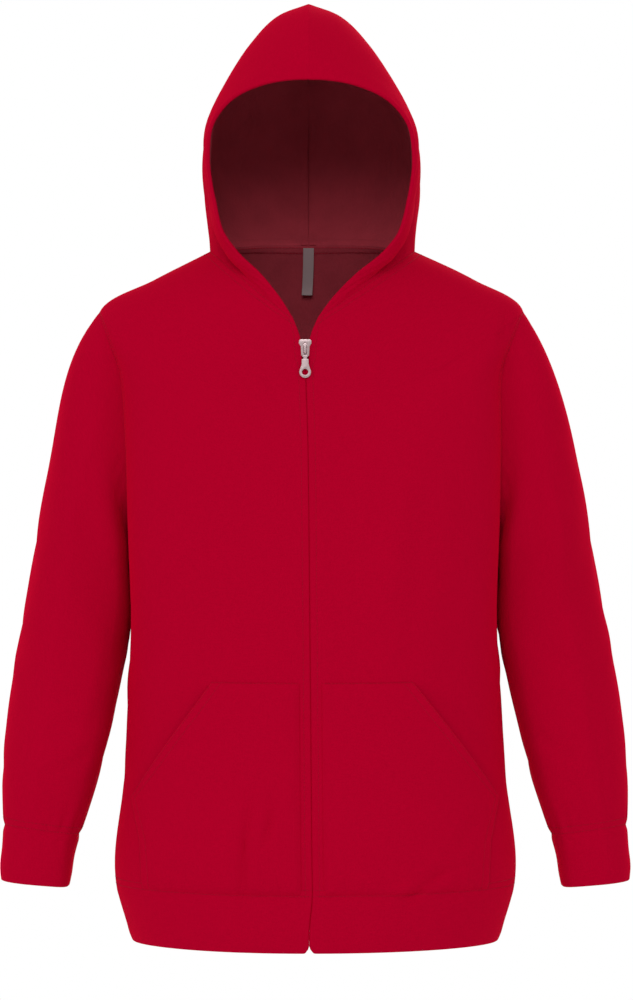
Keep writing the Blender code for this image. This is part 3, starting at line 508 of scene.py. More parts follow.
# Back panel
# The back is one piece, cut on the same rings, and meets the fronts at the side seams and the
# shoulder seams.
back_widths, back_across, back_half = panel("back")
BACK_MIDDLE = back_across.shape[1] - 1
back = np.concatenate((back_half[:, ::-1], back_half[:, 1:] * (-1, 1, 1)), axis=1)
back_cut = flat_cut(np.concatenate((back_across[:, ::-1], -back_across[:, 1:]), axis=1), UPS)


# Sleeves
# Each sleeve is one piece, seamed under the arm and set into the armhole. It is lofted through
# ovals. Each row holds x and z of an oval's outermost point in the front view, then of its
# innermost point, then its size front to back and how far it lies behind the shoulder.
SLEEVE = (
    (241.0, -206, 166.3, -274, 136, 16),
    (254.5, -286, 164.9, -322, 128, 24),
    (268.0, -362, 175.4, -385, 122, 20),
    (276.5, -420, 186.6, -434, 112, 12),
    (280.5, -482, 201.0, -489, 96, 6),
    (278.5, -515, 213.5, -523, 74, 2),
)
# The arm presses the cloth flatter in front, towards the body. rise and start: how soon the
# flatter part begins beside the inner line, and how far it reaches outwards.
SLEEVE_SQUARE = 2.15
SLEEVE_FLATTER = 1.8
FLATTER_RISE = 3.5
FLATTER_START = 0.4
# How the sleeve leaves the armhole: sideways, forwards or backwards, and down
LEAVE_TOP = (0.59, 0.0, -0.81)
LEAVE_SIDE = (0.82, 0.22, -0.50)
LEAVE_UNDER = (0.96, 0.10, -0.26)


def section(row, turns):
    """An oval through a row's inner and outer points; turn 0 is the inner one and pi the outer,
    by way of the front for turns under pi. Sine and cosine are raised to 2 over square, which
    is more in front, towards the body."""
    outer_x, outer_z, inner_x, inner_z, depth, behind = row
    inner = np.array((inner_x, behind, inner_z))
    outer = np.array((outer_x, behind, outer_z))
    across = -np.cos(turns)
    deep = -np.sin(turns)
    flatter = (np.clip(FLATTER_RISE * np.sin(turns), 0, 1)
               * np.clip(FLATTER_START + np.cos(turns), 0, 1))
    power = 2 / (SLEEVE_SQUARE + SLEEVE_FLATTER * flatter)
    across = np.sign(across) * np.abs(across) ** power
    deep = np.sign(deep) * np.abs(deep) ** power
    return ((inner + outer) / 2 + across[:, None] * (outer - inner) / 2
            + deep[:, None] * np.array((0, depth / 2, 0)))


def way_round(loop, top):
    """Turn of each armhole point: 0 under the arm, pi at the point numbered top, on the
    shoulder, by way along the loop."""
    way = way_along(np.vstack((loop, loop[:1])))
    first = way[:top + 1] / way[top] * np.pi
    last = np.pi + (way[top + 1:-1] - way[top]) / (way[-1] - way[top]) * np.pi
    return np.concatenate((first, last))


def sleeve(loop, top):
    """The +X sleeve, rows from the armhole to the cuff seam, columns round from the underarm,
    with the turns of its columns and the ways down of its rows. Each lengthwise line is a
    smooth curve through the ovals from the way that it leaves the armhole."""
    turns = way_round(loop, top)
    rings = np.stack([loop] + [section(row, turns) for row in SLEEVE])
    high = ((1 - np.cos(turns)) / 2)[:, None]
    sides = np.sin(turns)[:, None]
    to_side = np.abs(sides)
    leave = np.array(LEAVE_TOP) * high + np.array(LEAVE_UNDER) * (1 - high)
    flank = np.array(LEAVE_SIDE) * np.where(sides > 0, (1, -1, 1), 1)
    leave = unit(leave * (1 - to_side) + flank * to_side)
    span = np.linalg.norm(np.diff(rings, axis=0), axis=2)[:, :, None]
    lengths = np.concatenate(([0], np.cumsum(span.mean(axis=(1, 2)))))
    down = spaced(lengths[-1], SEAM_LINES, SEAM_LINES)
    return smooth(lengths, rings, span, down, leave), turns, down


def tube_cut(grid, down):
    """Flat cut of a tube, with a last column for its closing seam: way round each row, and way
    down."""
    across = way_along(np.concatenate((grid, grid[:, :1]), axis=1), 1)
    return flat_cut(across - across[:, -1:] / 2, -down)


armhole = np.concatenate((front[UNDERARM_ROW:SHOULDER_ROW, -1],
                          back[SHOULDER_ROW:UNDERARM_ROW:-1, 0]))
arm, arm_turns, arm_down = sleeve(armhole, ARMHOLE_CELLS)
arm_cut = tube_cut(arm, arm_down)


# Cuffs
# Each cuff is a band of the same fleece, folded double over the wrist end, with the sleeve
# eased into it. Its rows are like the sleeve's, at these ways down.
CUFF = (
    (278.5, -515, 213.5, -523, 74, 2),
    (280.0, -533, 218.0, -541, 71, 1),
    (282.0, -555, 221.0, -561, 67, 0),
    (281.0, -565, 223.0, -570, 64, 0),
)
CUFF_WAYS = (0, 18, 41, 51)
FOLD_LINES = (0, 0.4, 1.0, 1.8, 3.0)

cuff_down = spaced(CUFF_WAYS[-1], SEAM_LINES, FOLD_LINES)
wrist = through(CUFF_WAYS, np.stack([section(row, arm_turns) for row in CUFF]), cuff_down)
wrist_cut = tube_cut(wrist, cuff_down)


# Waistband
# One long band of the same fleece, folded double under the hem and open at the zip. Its rings
# are the hem's, scaled to these sizes on the way down.
BAND = (
    ("down", "half", "front", "back"),
    (0, 178.0, 116, 111),
    (16, 173.5, 114, 109),
    (34, 168.0, 111, 106),
    (43, 165.5, 108, 103),
    (50, 162.5, 105, 100),
)
# The two corners at the foot of the zip are rounded off
BAND_CORNER = (2.6, 1.2)
BAND_CORNER_FROM = 44.5
BAND_CORNER_REACH = 6

hem = np.concatenate((front[0], back[0, 1:], front[0, -2::-1] * (-1, 1, 1)))
band_down = spaced(BAND[-1][0], SEAM_LINES, FOLD_LINES)
band_half, band_fore, band_aft = (through(column(BAND, "down"), column(BAND, name), band_down)
                                  for name in ("half", "front", "back"))
band = np.repeat(hem[None], len(band_down), axis=0)
band_edge = zip_edge(hem[0, 2])
near = np.clip(hem[:, 0], -band_edge, band_edge)
narrower = (band_half - band_edge) / (band_half[0] - band_edge)
band[:, :, 0] = near + (hem[:, 0] - near) * narrower[:, None]
band[:, :, 1] *= np.where(hem[:, 1] < 0, (band_fore / band_fore[0])[:, None],
                          (band_aft / band_aft[0])[:, None])
band[:, :, 2] -= band_down[:, None]
at_zip = (1 - swell(np.abs(hem[:, 0]) / BAND_CORNER_REACH)) * (hem[:, 1] < 0)
at_foot = swell((band_down - BAND_CORNER_FROM) / (BAND[-1][0] - BAND_CORNER_FROM))
rounded_off = at_foot[:, None] * at_zip
band[:, :, 0] += BAND_CORNER[0] * rounded_off * np.sign(hem[:, 0])
band[:, :, 2] += BAND_CORNER[1] * rounded_off
band_cut = flat_cut(way_along(hem), -band_down)


# Hood
# Two halves joined by one seam from the brow over the crown to the nape, with the face edge
# turned in. Each half is lofted through five curves from the neck seam upwards.
FACE_EDGE = (
    (12.5, -93.5, -63), (23, -94, -47), (43, -92, -24), (66, -88, -4), (79, -85, 13), (87, -84, 42),
    (91.5, -85, 80), (87.5, -88, 108), (71, -92, 129), (44, -96, 142), (20, -98, 146.5),
    (0, -99, 147.5),
)
OVER_EAR = (
    (91, 0, -0.5), (93, 8, 22), (97, 12, 50), (97.5, 14, 78), (94, 12, 104), (82.5, 8, 133),
    (67.5, 3, 162), (50, -3, 190), (27, -8, 211), (0, -12, 221),
)
ROUND_BACK = (
    (52, 56, 8), (64, 72, 30), (74, 82, 60), (78, 86, 90), (75, 82, 118), (65, 72, 147),
    (48, 58, 176), (26, 46, 198), (0, 38, 210),
)
NAPE = (
    (0, 64, 9), (0, 83, 24), (0, 101, 58), (0, 111, 98), (0, 107, 138), (0, 90, 172), (0, 66, 194),
)
CROWN = (
    (0, -99, 147.5), (0, -88, 172), (0, -68, 196), (0, -42, 213), (0, -12, 221), (0, 16, 218.5),
    (0, 42, 209), (0, 66, 194),
)
# A line over the cheek, by how far it stands from the face edge at each share of its length
CHEEK = (
    ("share", "x", "y", "z"),
    (0, 40.5, 12.6, 31.3), (0.12, 22, 14, 9), (0.23, 11, 15, -1), (0.31, 7, 18, -1),
    (0.38, 4.5, 20, 0), (0.46, 3.5, 21, 0), (0.6, 3.5, 22, 1), (0.75, 3, 22, 8),
    (0.88, 1, 20, 17), (1, 0, 19, 29),
)
# Shares of the way from the face edge to the nape at which the five curves stand
HOOD_STATIONS = (0, 0.17, 0.5, 0.78, 1)
HOOD_HEIGHT = 270.0
CURVE_POINTS = 1600


def on_line(at, way, points):
    """Points of a line at ways along it."""
    return np.stack([np.interp(at, way, points[:, axis]) for axis in range(3)], axis=-1)


def along(points, at):
    """Points of a smooth curve through the points given, at parts of its length."""
    points = np.array(points, float)
    way = way_along(points)
    fine = through(way, points, np.linspace(0, way[-1], CURVE_POINTS))
    way = way_along(fine)
    return on_line(at * way[-1], way, fine)


def hood(neck, up, across):
    """The +X half: rows from the neck seam to the crown, columns from the face edge to the
    nape. The loft is pulled onto the neck seam and the crown seam by the square of the nearness
    to each."""
    edge = along(FACE_EDGE, up)
    apart = np.stack([column(CHEEK, name) for name in "xyz"], axis=1)
    cheek = edge + through(column(CHEEK, "share"), apart, up)
    curves = [edge, cheek] + [along(curve, up) for curve in (OVER_EAR, ROUND_BACK, NAPE)]
    grid = through(HOOD_STATIONS, np.stack(curves), across).transpose(1, 0, 2)
    rise = up[:, None, None]
    grid = (grid + (1 - rise) ** 2 * (neck - grid[0])
            + rise ** 2 * (along(CROWN, across) - grid[-1]))
    grid[-1, :, 0] = 0
    grid[:, -1, 0] = 0
    return grid


neck = np.concatenate((front[-1], back[-1, 1:BACK_MIDDLE + 1]))
hood_up = spaced(HOOD_HEIGHT, SEAM_LINES, SEAM_LINES) / HOOD_HEIGHT
hood_across = np.concatenate((
    0.5 * front_across[-1] / front_widths[-1],
    1 - 0.5 * back_across[-1, ::-1][1:] / back_widths[-1]))
cowl = hood(neck, hood_up, hood_across)
cowl_cut = flat_cut(way_along(cowl, 1), hood_up * HOOD_HEIGHT)


# Folds
# Soft fleece falls in few, broad folds: slanting ones at the underarms and elbows, upright ones
# on the body, and short ripples where it is eased into the waistband and the cuffs.
# Each row: mm down from the piece's highest row, mm across from the centre line, or round the
# sleeve from under the arm, lean in degrees from straight down, length, width, and depth
# outwards, under 0 for a trough.
FOLDS = {
    "front_left": (
        (330, 128, -4, 120, 26, -2.6), (300, 78, 8, 90, 26, 1.8), (545, 60, 70, 60, 22, 2.4),
        (130, 130, 38, 50, 20, -2.0),
    ),
    "front_right": (
        (345, 122, 6, 100, 26, -2.2), (560, 70, 80, 55, 22, 2.6), (140, 124, 34, 50, 20, -1.8),
    ),
    "back": (
        (250, 150, -25, 90, 26, -3.0), (270, -140, 28, 95, 26, -2.6), (470, 70, 8, 120, 30, -2.4),
        (500, -60, -6, 100, 30, -2.2), (560, -130, -70, 60, 24, 2.4),
    ),
    "sleeve_left": (
        (105, 85, -38, 55, 22, -2.8), (150, 110, -42, 60, 22, 2.6), (195, 95, -45, 60, 22, -2.4),
        (255, 128, -8, 75, 20, -2.8), (190, 250, 35, 70, 24, -3.0), (290, 235, 62, 50, 22, 2.6),
    ),
    "sleeve_right": (
        (120, 90, -35, 60, 22, -2.6), (185, 60, -40, 60, 24, -3.0), (270, 130, -20, 60, 22, -2.6),
        (170, 255, 38, 70, 24, -2.8), (300, 60, 65, 50, 22, 2.4),
    ),
    "hood_left": (
        (215, 95, 40, 60, 24, -2.4), (165, 175, 25, 70, 26, -2.6),
    ),
    "hood_right": (
        (205, 90, 36, 60, 24, -2.2), (150, 180, 30, 70, 26, -2.6),
    ),
}
# Creases, placed as seen from one side. Each row: x, or y for the left and right, height, lean,
# length, width, how far its ends lie off its middle, and depth outwards.
CREASES = {
    "front": (
        (140, -232, -35, 45, 10, 4, -1.5), (122, -266, -48, 40, 9, -4, 1.0),
        (-138, -240, 33, 48, 10, -5, -1.4), (-118, -274, 50, 38, 9, 4, 0.9),
        (88, -315, 4, 105, 17, 8, -1.5), (173, -62, 8, 24, 4.5, 2, -2.4),
        (138, -430, -38, 50, 6, 0, -1.8), (62, -150, 38, 60, 16, 6, -0.8),
        (-70, -170, -42, 66, 16, -6, -0.7), (78, -250, 12, 70, 14, 6, 0.8),
        (-96, -380, -8, 80, 15, -6, -0.9), (-60, -532, 5, 42, 6, 3, -3.8),
        (-37, -508, 12, 28, 6, -3, -3.0), (-48, -545, 16, 24, 5, 3, 1.2),
        (-118, -538, -58, 24, 8, 2, 1.4), (103, -556, 58, 26, 6, 5, -3.0),
        (78, -566, 74, 18, 6, -2, 1.8), (132, -520, 40, 24, 7, -2, -1.3),
        (14, -262, 2, 40, 7, 2, 0.5), (12, -402, -3, 46, 7, -2, 0.5),
        (-15, -330, 3, 44, 7, 2, 0.5), (212, -150, -28, 40, 9, 5, -1.2),
        (222, -184, -32, 42, 9, 4, 1.0), (229, -218, -35, 38, 10, -4, -1.1),
        (228, -372, -62, 30, 9, 4, -1.3), (238, -398, -70, 32, 8, -3, 0.9),
        (213, -444, -55, 28, 8, 3, -1.2), (234, -472, 68, 26, 8, 2, -0.9),
        (253, -443, -6, 58, 10, 4, -1.4), (-186, -394, 12, 46, 9, -4, -1.5),
        (-263, -475, -10, 38, 8, 3, -1.2), (-214, -180, 30, 42, 9, -4, -1.0),
        (-229, -252, 33, 40, 10, 4, 0.9), (-236, -420, 65, 30, 9, 3, 0.9),
        (-213, -456, 58, 26, 8, -3, -1.1), (84, 22, -12, 30, 8, 3, -0.8),
        (-85, 34, 14, 34, 8, -3, -0.7),
    ),
    "back": (
        (32, -62, 60, 42, 12, 6, -1.0), (-36, -70, -56, 40, 12, -6, -0.9),
        (141, -230, -35, 50, 11, 4, -1.6), (118, -262, -48, 42, 10, -4, 1.1),
        (-142, -238, 36, 48, 11, -5, -1.5), (-121, -272, 51, 40, 10, 4, 1.0),
        (22, -330, 6, 120, 20, 8, -1.2), (-68, -410, -8, 100, 18, -8, 1.1),
        (96, -460, 14, 70, 15, 6, -1.1), (-112, -545, 66, 26, 8, 2, 0.9),
        (-20, -550, -74, 26, 7, -2, -0.9), (66, -544, 62, 24, 8, 2, 1.0),
        (214, -165, -30, 42, 10, 5, -1.2), (-217, -190, 31, 44, 10, -5, -1.2),
        (226, -350, -58, 34, 10, 4, -1.6), (222, -386, -66, 32, 9, -3, 1.2),
        (-228, -362, 60, 36, 10, -4, -1.5), (-224, -398, 68, 30, 9, 3, 1.1),
        (238, -460, 50, 30, 9, 3, -1.1), (-240, -468, -54, 28, 9, -3, -1.1),
        (40, 62, 20, 52, 14, 6, -1.5), (-46, 74, -25, 48, 13, -6, -1.3),
        (27, 132, 60, 36, 12, 4, 1.1), (-22, 34, -70, 32, 10, 3, -1.1),
    ),
    "left": (
        (18, -250, 24, 50, 12, 5, -1.3), (34, -345, -38, 40, 11, 4, -1.5),
        (-12, -368, 52, 34, 10, -4, 1.1), (22, -440, 46, 34, 10, 3, -1.2),
        (30, 92, 30, 62, 14, 6, -1.7), (-34, 60, -16, 50, 12, -5, -1.1),
        (10, 158, 58, 40, 13, 5, 1.1),
    ),
    "right": (
        (14, -262, 28, 48, 12, -5, -1.3), (32, -352, -44, 42, 11, 4, -1.4),
        (-10, -384, 48, 32, 10, 4, 1.0), (18, -452, 50, 30, 10, -3, -1.2),
        (34, 84, 26, 60, 14, -6, -1.6), (-30, 70, -20, 48, 12, 5, -1.0),
        (14, 150, 60, 42, 13, -5, 1.0),
    ),
}
# Eased cloth ripples beside a seam. Each row: piece, border, how far in the ripples reach, their
# height, and how many waves there are along the seam.
PUCKERS = (
    ("front", "low", 26, 0.8, 9),
    ("back", "low", 26, 0.8, 19),
    ("waistband", "low", 14, 0.4, 37),
    ("sleeve", "high", 24, 1.2, 15),
    ("sleeve", "low", 18, 0.5, 21),
    ("cuff", "low", 16, 0.6, 15),
    ("hood", "low", 16, 0.4, 13),
    ("hood", "start", 18, 0.6, 11),
    ("hood", "end", 14, 0.4, 9),
    ("front", "start", 9, 0.3, 27),
)
# The axis, x or y, across each view, and its direction outwards
VIEWS = {"front": (0, (0, -1, 0)), "back": (0, (0, 1, 0)),
         "left": (1, (1, 0, 0)), "right": (1, (-1, 0, 0))}
BORDERS = ("low", "high", "start", "end")
# Distance from a border that a tube doesn't have
FAR = 1e3
# Folds rise from nothing over this stretch from the seams
FOLD_FADE = (18, 42)
# A crease's trough lies between two low ridges, this many waves of a cosine from it
CREASE_RIDGES = 1.5
# Ripples are nothing on the seam and fade in over the first of these, and at its ends over the
# second
PUCKER_START = 4
PUCKER_ENDS = 12
# The waves are drawn together and apart by this share of a turn, this many times along the
# seam, and their height is this much and varies by this much, this many times
PUCKER_DRAW = (0.4, 3)
PUCKER_HEIGHT = (0.6, 0.4, 2)
# Keeps a normal of no length from dividing by nothing
TINY = 1e-12


def grid_normals(grid, flip, closed):
    """Unit normals of a grid of points, from the differences across each point. A corner takes
    the mean of its two neighbours along the edges, since its own edges may run in one line."""
    if closed:
        by_column = np.roll(grid, -1, axis=1) - np.roll(grid, 1, axis=1)
    else:
        by_column = np.gradient(grid, axis=1)
    normal = np.cross(by_column, np.gradient(grid, axis=0))
    normal /= np.linalg.norm(normal, axis=2)[..., None] + TINY
    if not closed:
        for row, next_row in ((0, 1), (-1, -2)):
            for col, next_col in ((0, 1), (-1, -2)):
                normal[row, col] = normal[next_row, col] + normal[row, next_col]
    return -unit(normal) if flip else unit(normal)


def border_distances(grid, closed):
    """Distance of each point from each border, along the grid's lines. A tube has no first and
    last column."""
    down = way_along(grid)
    across = way_along(grid, 1)
    far = np.full(down.shape, FAR)
    return {"low": down, "high": down[-1:] - down,
            "start": far if closed else across,
            "end": far if closed else across[:, -1:] - across, "across": across}


def leaned(x, y, lean):
    """Ways along and off a line that leans by degrees from upright."""
    lean = math.radians(lean)
    return x * math.sin(lean) + y * math.cos(lean), x * math.cos(lean) - y * math.sin(lean)


def fold_height(name, piece):
    """How far the piece's folds move each point out: bells in two directions."""
    away = piece["away"]
    rows = away["low" if piece["closed"] else "high"].mean(axis=1)[:, None]
    across = away["across"]
    if name == "back":
        across = across - across[:, BACK_MIDDLE:BACK_MIDDLE + 1]
    move = np.zeros(across.shape)
    for at_down, at_across, lean, length, width, depth in FOLDS.get(name, ()):
        on_fold, off_fold = leaned(across - at_across, rows - at_down, lean)
        move += depth * np.exp(-(on_fold / length) ** 2 - (off_fold / width) ** 2)
    for border in BORDERS:
        move *= swell((away[border] - FOLD_FADE[0]) / FOLD_FADE[1])
    return move


def crease_height(points, normals):
    """How far the creases move each point out: a bell along the crease's parabola, and across
    it a wave that is a trough between two low ridges, by how squarely it faces that side."""
    move = np.zeros(points.shape[:2])
    for side, rows in CREASES.items():
        axis, outwards = VIEWS[side]
        facing = np.clip(normals @ np.array(outwards, float), 0, 1)
        for at, up, lean, length, width, bend, depth in rows:
            on_line, off_line = leaned(points[..., axis] - at, points[..., 2] - up, lean)
            on_line /= length
            off_line = (off_line - bend * on_line ** 2) / width
            wave = np.exp(-on_line ** 2 - off_line ** 2 / 2) * np.cos(CREASE_RIDGES * off_line)
            move += depth * facing * wave
    return move


def pucker_height(name, away):
    """How far ripples beside the seams move each point out: sines of the way along the seam,
    drawn together and apart, which are nothing on the seam and fade with the square of the
    distance from it."""
    move = np.zeros(away["low"].shape)
    draw, draws = PUCKER_DRAW
    least, more, times = PUCKER_HEIGHT
    for pieces, border, reach, height, waves in PUCKERS:
        if not name.startswith(pieces):
            continue
        upright = border in ("start", "end")
        way = away["low"] if upright else away["across"]
        part = way / (way[-1:] if upright else way[:, -1:])
        turned = 2 * np.pi * (waves * part + draw * np.sin(2 * np.pi * draws * part + waves))
        wave = np.sin(turned) * (least + more * np.sin(2 * np.pi * times * part + 1))
        off = away[border]
        fade = np.exp(-(off / reach) ** 2) * (1 - np.exp(-(off / PUCKER_START) ** 2))
        for other in BORDERS[:2] if upright else BORDERS[2:]:
            fade = fade * swell(away[other] / PUCKER_ENDS)
        move += height * wave * fade
    return move


# Seams
# Panels are joined by overlocked seams, pressed and held down by two rows of topstitching at
# the armholes, neck, waistband and cuffs. The cloth dips at the seam and swells beside it.
# off: distance from the seam. stitched, plain: how far the face stands out with and without
# topstitching. zip: the same beside the zip, where one row holds the tape. pocket: the same at
# a pocket's mouth and side, which have two rows. pressed: at its other edges, sewn down flat.
SEAM = (
    ("off", "stitched", "plain", "zip", "pocket", "pressed"),
    (0, -0.12, -0.12, 0, 0, 0),
    (0.7, -0.06, -0.04, 0, -0.05, 0),
    (1.4, -0.1, 0, 0, -0.12, -0.05),
    (2.2, 0.0, 0.03, 0, 0, 0),
    (3.2, 0.04, 0.05, 0.06, 0.05, 0),
    (4.6, 0.05, 0.04, 0.06, 0.05, 0.04),
    (6.2, 0.0, 0.02, -0.4, 0.04, 0.04),
    (7.0, -0.08, 0.01, -0.15, 0.03, 0.02),
    (7.8, -0.03, 0, 0.05, -0.02, 0.02),
    (9.4, 0.01, 0, 0.05, -0.12, 0),
    (12, 0, 0, 0, 0, 0),
)
# Share of the zip's relief that each front has
ZIP_RELIEF = {"left": 1, "right": 0.4}
# Each side's name, whether its faces are turned over, and its mirror
SIDES = (("left", False, np.array((1, 1, 1))), ("right", True, np.array((-1, 1, 1))))
# Inside, the seam's allowance and the turned-in edges make the cloth thicker, by the first
# number up to the second from the seam
ALLOWANCE = (0.7, 6.0)
TURNED_IN = {"zip": (1.15, 12.0), "hem": (1.2, 22.0)}
# The allowance fades in and out over these distances, and a turned-in edge fades out over this
ALLOWANCE_FADE = (1.2, 1.5)
TURNED_IN_END = 1.2
# The face shows inside a little past a turned-in edge
FACE_PAST = 0.6
# A doubled band thickens over this distance from its seam, and a pressed edge over this one
THICKENS_OVER = 7.0
PRESSED_OVER = 4.6
# Least share of a wall's thickness at its rounded edge
EDGE_LEAST = 0.15
# A wall stands out by no more than this times its thickness where two panels meet at an angle
MITRE_LIMIT = 1.45
# Edges of more degrees than this are drawn sharp
SHARP_ANGLE = 50
# Points nearer than the inverse of this count as one at a seam
SEAM_GRAIN = 50
# The garment hangs off true: drift of all, and drift of the centre line besides
HANG = (
    ("z", "drift", "centre"),
    (-625, 3.0, -5.2),
    (-605, 3.0, -5.4),
    (-572, 3.0, -2.6),
    (-540, 3.0, -2.9),
    (-300, 1.6, -3.6),
    (-180, 1.3, -4.6),
    (-60, -0.8, -5.0),
    (-8, 3.6, -7.0),
    (20, 2.8, -6.0),
    (60, 2.0, -5.2),
    (110, 0.8, -4.3),
    (230, 0.8, -3.8),
)
HANG_REACH = 175


def cloth_piece(grid, cut, flip, borders=(), closed=False, thick=FLEECE, relief=1):
    """A piece of cloth: the points of its middle, their places on the flat cut, whether its
    faces are turned over, how each border is sewn, whether it is a tube, its thickness, and
    the share of its edges' relief."""
    return {"grid": grid, "cut": cut, "flip": flip, "borders": dict(borders), "closed": closed,
            "thick": thick, "relief": relief, "normals": grid_normals(grid, flip, closed)}


def hang(points):
    """Moves points sideways by the garment's drift at their height, and by more near its
    centre line, fading over half a cosine wave to the side."""
    flat = points.reshape(-1, 3)
    drift, centre = (through(column(HANG, "z"), column(HANG, name), flat[:, 2])
                     for name in ("drift", "centre"))
    moved = flat.copy()
    moved[:, 0] += drift + centre * (1 - swell(np.abs(flat[:, 0]) / HANG_REACH))
    return moved.reshape(points.shape)


def share_normals(pieces):
    """Mean normal at each point over all the pieces that have a point there, so that seams
    close."""
    points, normals = (np.concatenate([piece[key].reshape(-1, 3) for piece in pieces])
                       for key in ("grid", "normals"))
    keys, number = np.unique(np.round(points * SEAM_GRAIN).astype(np.int64), axis=0,
                             return_inverse=True)
    number = number.ravel()
    total = np.zeros((len(keys), 3))
    np.add.at(total, number, normals)
    total = unit(total[number])
    start = 0
    for piece in pieces:
        size = piece["grid"].size // 3
        piece["shared"] = total[start:start + size].reshape(piece["grid"].shape)
        start += size


def relief(piece):
    """How far the face stands out beside the nearest seam, from the seam table."""
    nearest = np.full(piece["grid"].shape[:2], np.inf)
    height = np.zeros(nearest.shape)
    for border, style in piece["borders"].items():
        off = piece["away"][border]
        tables = {name: np.interp(off, column(SEAM, "off"), column(SEAM, name))
                  for name in SEAM[0][1:]}
        if not isinstance(style, str):
            own = tables["plain"] + (tables["stitched"] - tables["plain"]) * style
        elif style in tables:
            own = tables[style] * piece["relief"]
        else:
            continue
        height = np.where(off < nearest, own, height)
        nearest = np.minimum(nearest, off)
    return height


def walls(piece):
    """Outer and inner sheets of a piece: its middle moved both ways along the shared normals,
    by more where these lean, with the seams' relief and rounded free edges: the square root of
    one less the square of the nearness to the edge, in half thicknesses."""
    grid, shared, thick = piece["grid"], piece["shared"], piece["thick"]
    away = border_distances(grid, piece["closed"])
    piece["away"] = away
    lean = np.clip(np.sum(shared * piece["normals"], axis=2), 1 / MITRE_LIMIT, 1)
    half = thick / 2
    # A doubled band is no thicker at its seam than the single cloth that it meets
    inner = half - (half - FLEECE / 2) * (1 - swell(away["low"] / THICKENS_OVER))
    outer = inner + relief(piece)
    knit_inside = np.full(outer.shape, thick != FLEECE)
    for border, style in piece["borders"].items():
        off = away[border]
        if isinstance(style, str):
            rounded, pressed = (
                np.maximum(np.sqrt(1 - (1 - np.clip(off / reach, 0, 1)) ** 2), EDGE_LEAST)
                for reach in (half, PRESSED_OVER))
            if style in TURNED_IN:
                extra, reach = TURNED_IN[style]
                inner += extra * (1 - swell((off - reach) / TURNED_IN_END))
                knit_inside |= off < reach + FACE_PAST
            outer *= pressed if style == "pressed" else rounded
            inner *= rounded
        elif thick == FLEECE:
            extra, reach = ALLOWANCE
            fades_in, fades_out = ALLOWANCE_FADE
            inner += extra * (1 - swell((off - reach) / fades_out)) * swell(off / fades_in)
    piece["outer"] = hang(grid + shared * (outer / lean)[..., None])
    piece["inner"] = hang(grid - shared * (inner / lean)[..., None])
    piece["knit_inside"] = knit_inside


def quads(a, b, c, d):
    """Corner numbers of quads, from their four corners' arrays."""
    return np.stack((a.ravel(), b.ravel(), c.ravel(), d.ravel()), axis=1)


def sheets(a, b, closed):
    """Corner numbers of the quads of two sheets, given as grids of numbers, and of the strips
    that join their edges."""
    parts = [
        quads(a[:-1, :-1], a[:-1, 1:], a[1:, 1:], a[1:, :-1]),
        quads(b[:-1, :-1], b[1:, :-1], b[1:, 1:], b[:-1, 1:]),
        quads(a[0, :-1], b[0, :-1], b[0, 1:], a[0, 1:]),
        quads(a[-1, :-1], a[-1, 1:], b[-1, 1:], b[-1, :-1]),
    ]
    if not closed:
        parts.append(quads(a[:-1, 0], a[1:, 0], b[1:, 0], b[:-1, 0]))
        parts.append(quads(a[:-1, -1], b[:-1, -1], b[1:, -1], a[1:, -1]))
    return parts


def shell(name, piece, materials):
    """A closed mesh of a piece's two sheets and the strips between their edges."""
    closed, cut = piece["closed"], piece["cut"]
    points = np.stack((piece["outer"], piece["inner"]))
    number = np.arange(points.size // 3).reshape(points.shape[:3])
    if closed:
        number = np.concatenate((number, number[:, :, :1]), axis=2)
    place = np.arange(cut.size // 2).reshape(cut.shape[:2])
    parts = sheets(*number, closed)
    faces = np.concatenate(parts)
    corners = np.concatenate(sheets(place, place, closed))
    if piece["flip"]:
        faces = faces[:, ::-1]
        corners = corners[:, ::-1]
    mesh = new_mesh(name, points, faces.tolist(), materials)
    if len(materials) > 1:
        side = np.zeros(len(faces), int)
        count = len(parts[0])
        knit = np.pad(piece["knit_inside"], ((0, 0), (0, int(closed))), mode="edge")
        # The inner sheet's cells come in the same order as the outer sheet's
        side[count:2 * count] = np.where(knit[:-1, :-1] & knit[1:, 1:], 0, 1).ravel()
        mesh.polygons.foreach_set("material_index", side)
    layer = mesh.uv_layers.new(name="cut")
    layer.data.foreach_set("uv", (cut.reshape(-1, 2)[corners.ravel()] * MM).ravel())
    mesh.shade_smooth()
    mesh.set_sharp_from_angle(angle=math.radians(SHARP_ANGLE))
    return in_scene(name, mesh)


# The armhole has topstitching on the body's side, and the side and shoulder seams have none
armhole_rows = np.zeros((len(UPS), 1))
armhole_rows[UNDERARM_ROW:SHOULDER_ROW + 1] = 1
cloth = {}
for side, turned, mirror in SIDES:
    cloth["front_" + side] = cloth_piece(
        front * mirror, front_cut, turned,
        {"low": 1, "high": 1, "start": "zip", "end": armhole_rows}, relief=ZIP_RELIEF[side])
    cloth["sleeve_" + side] = cloth_piece(
        arm * mirror, arm_cut, not turned, {"low": 0, "high": 1}, closed=True)
    cloth["cuff_" + side] = cloth_piece(
        wrist * mirror, wrist_cut, not turned, {"low": 0, "high": "fold"}, closed=True,
        thick=DOUBLED)
    cloth["hood_" + side] = cloth_piece(
        cowl * mirror, cowl_cut, turned, {"low": 0, "high": 0, "start": "hem", "end": 0})
cloth["back"] = cloth_piece(
    back, back_cut, False, {"low": 1, "high": 1, "start": armhole_rows, "end": armhole_rows})
cloth["waistband"] = cloth_piece(
    band, band_cut, True, {"low": 0, "high": "fold", "start": "fold", "end": "fold"},
    thick=DOUBLED)

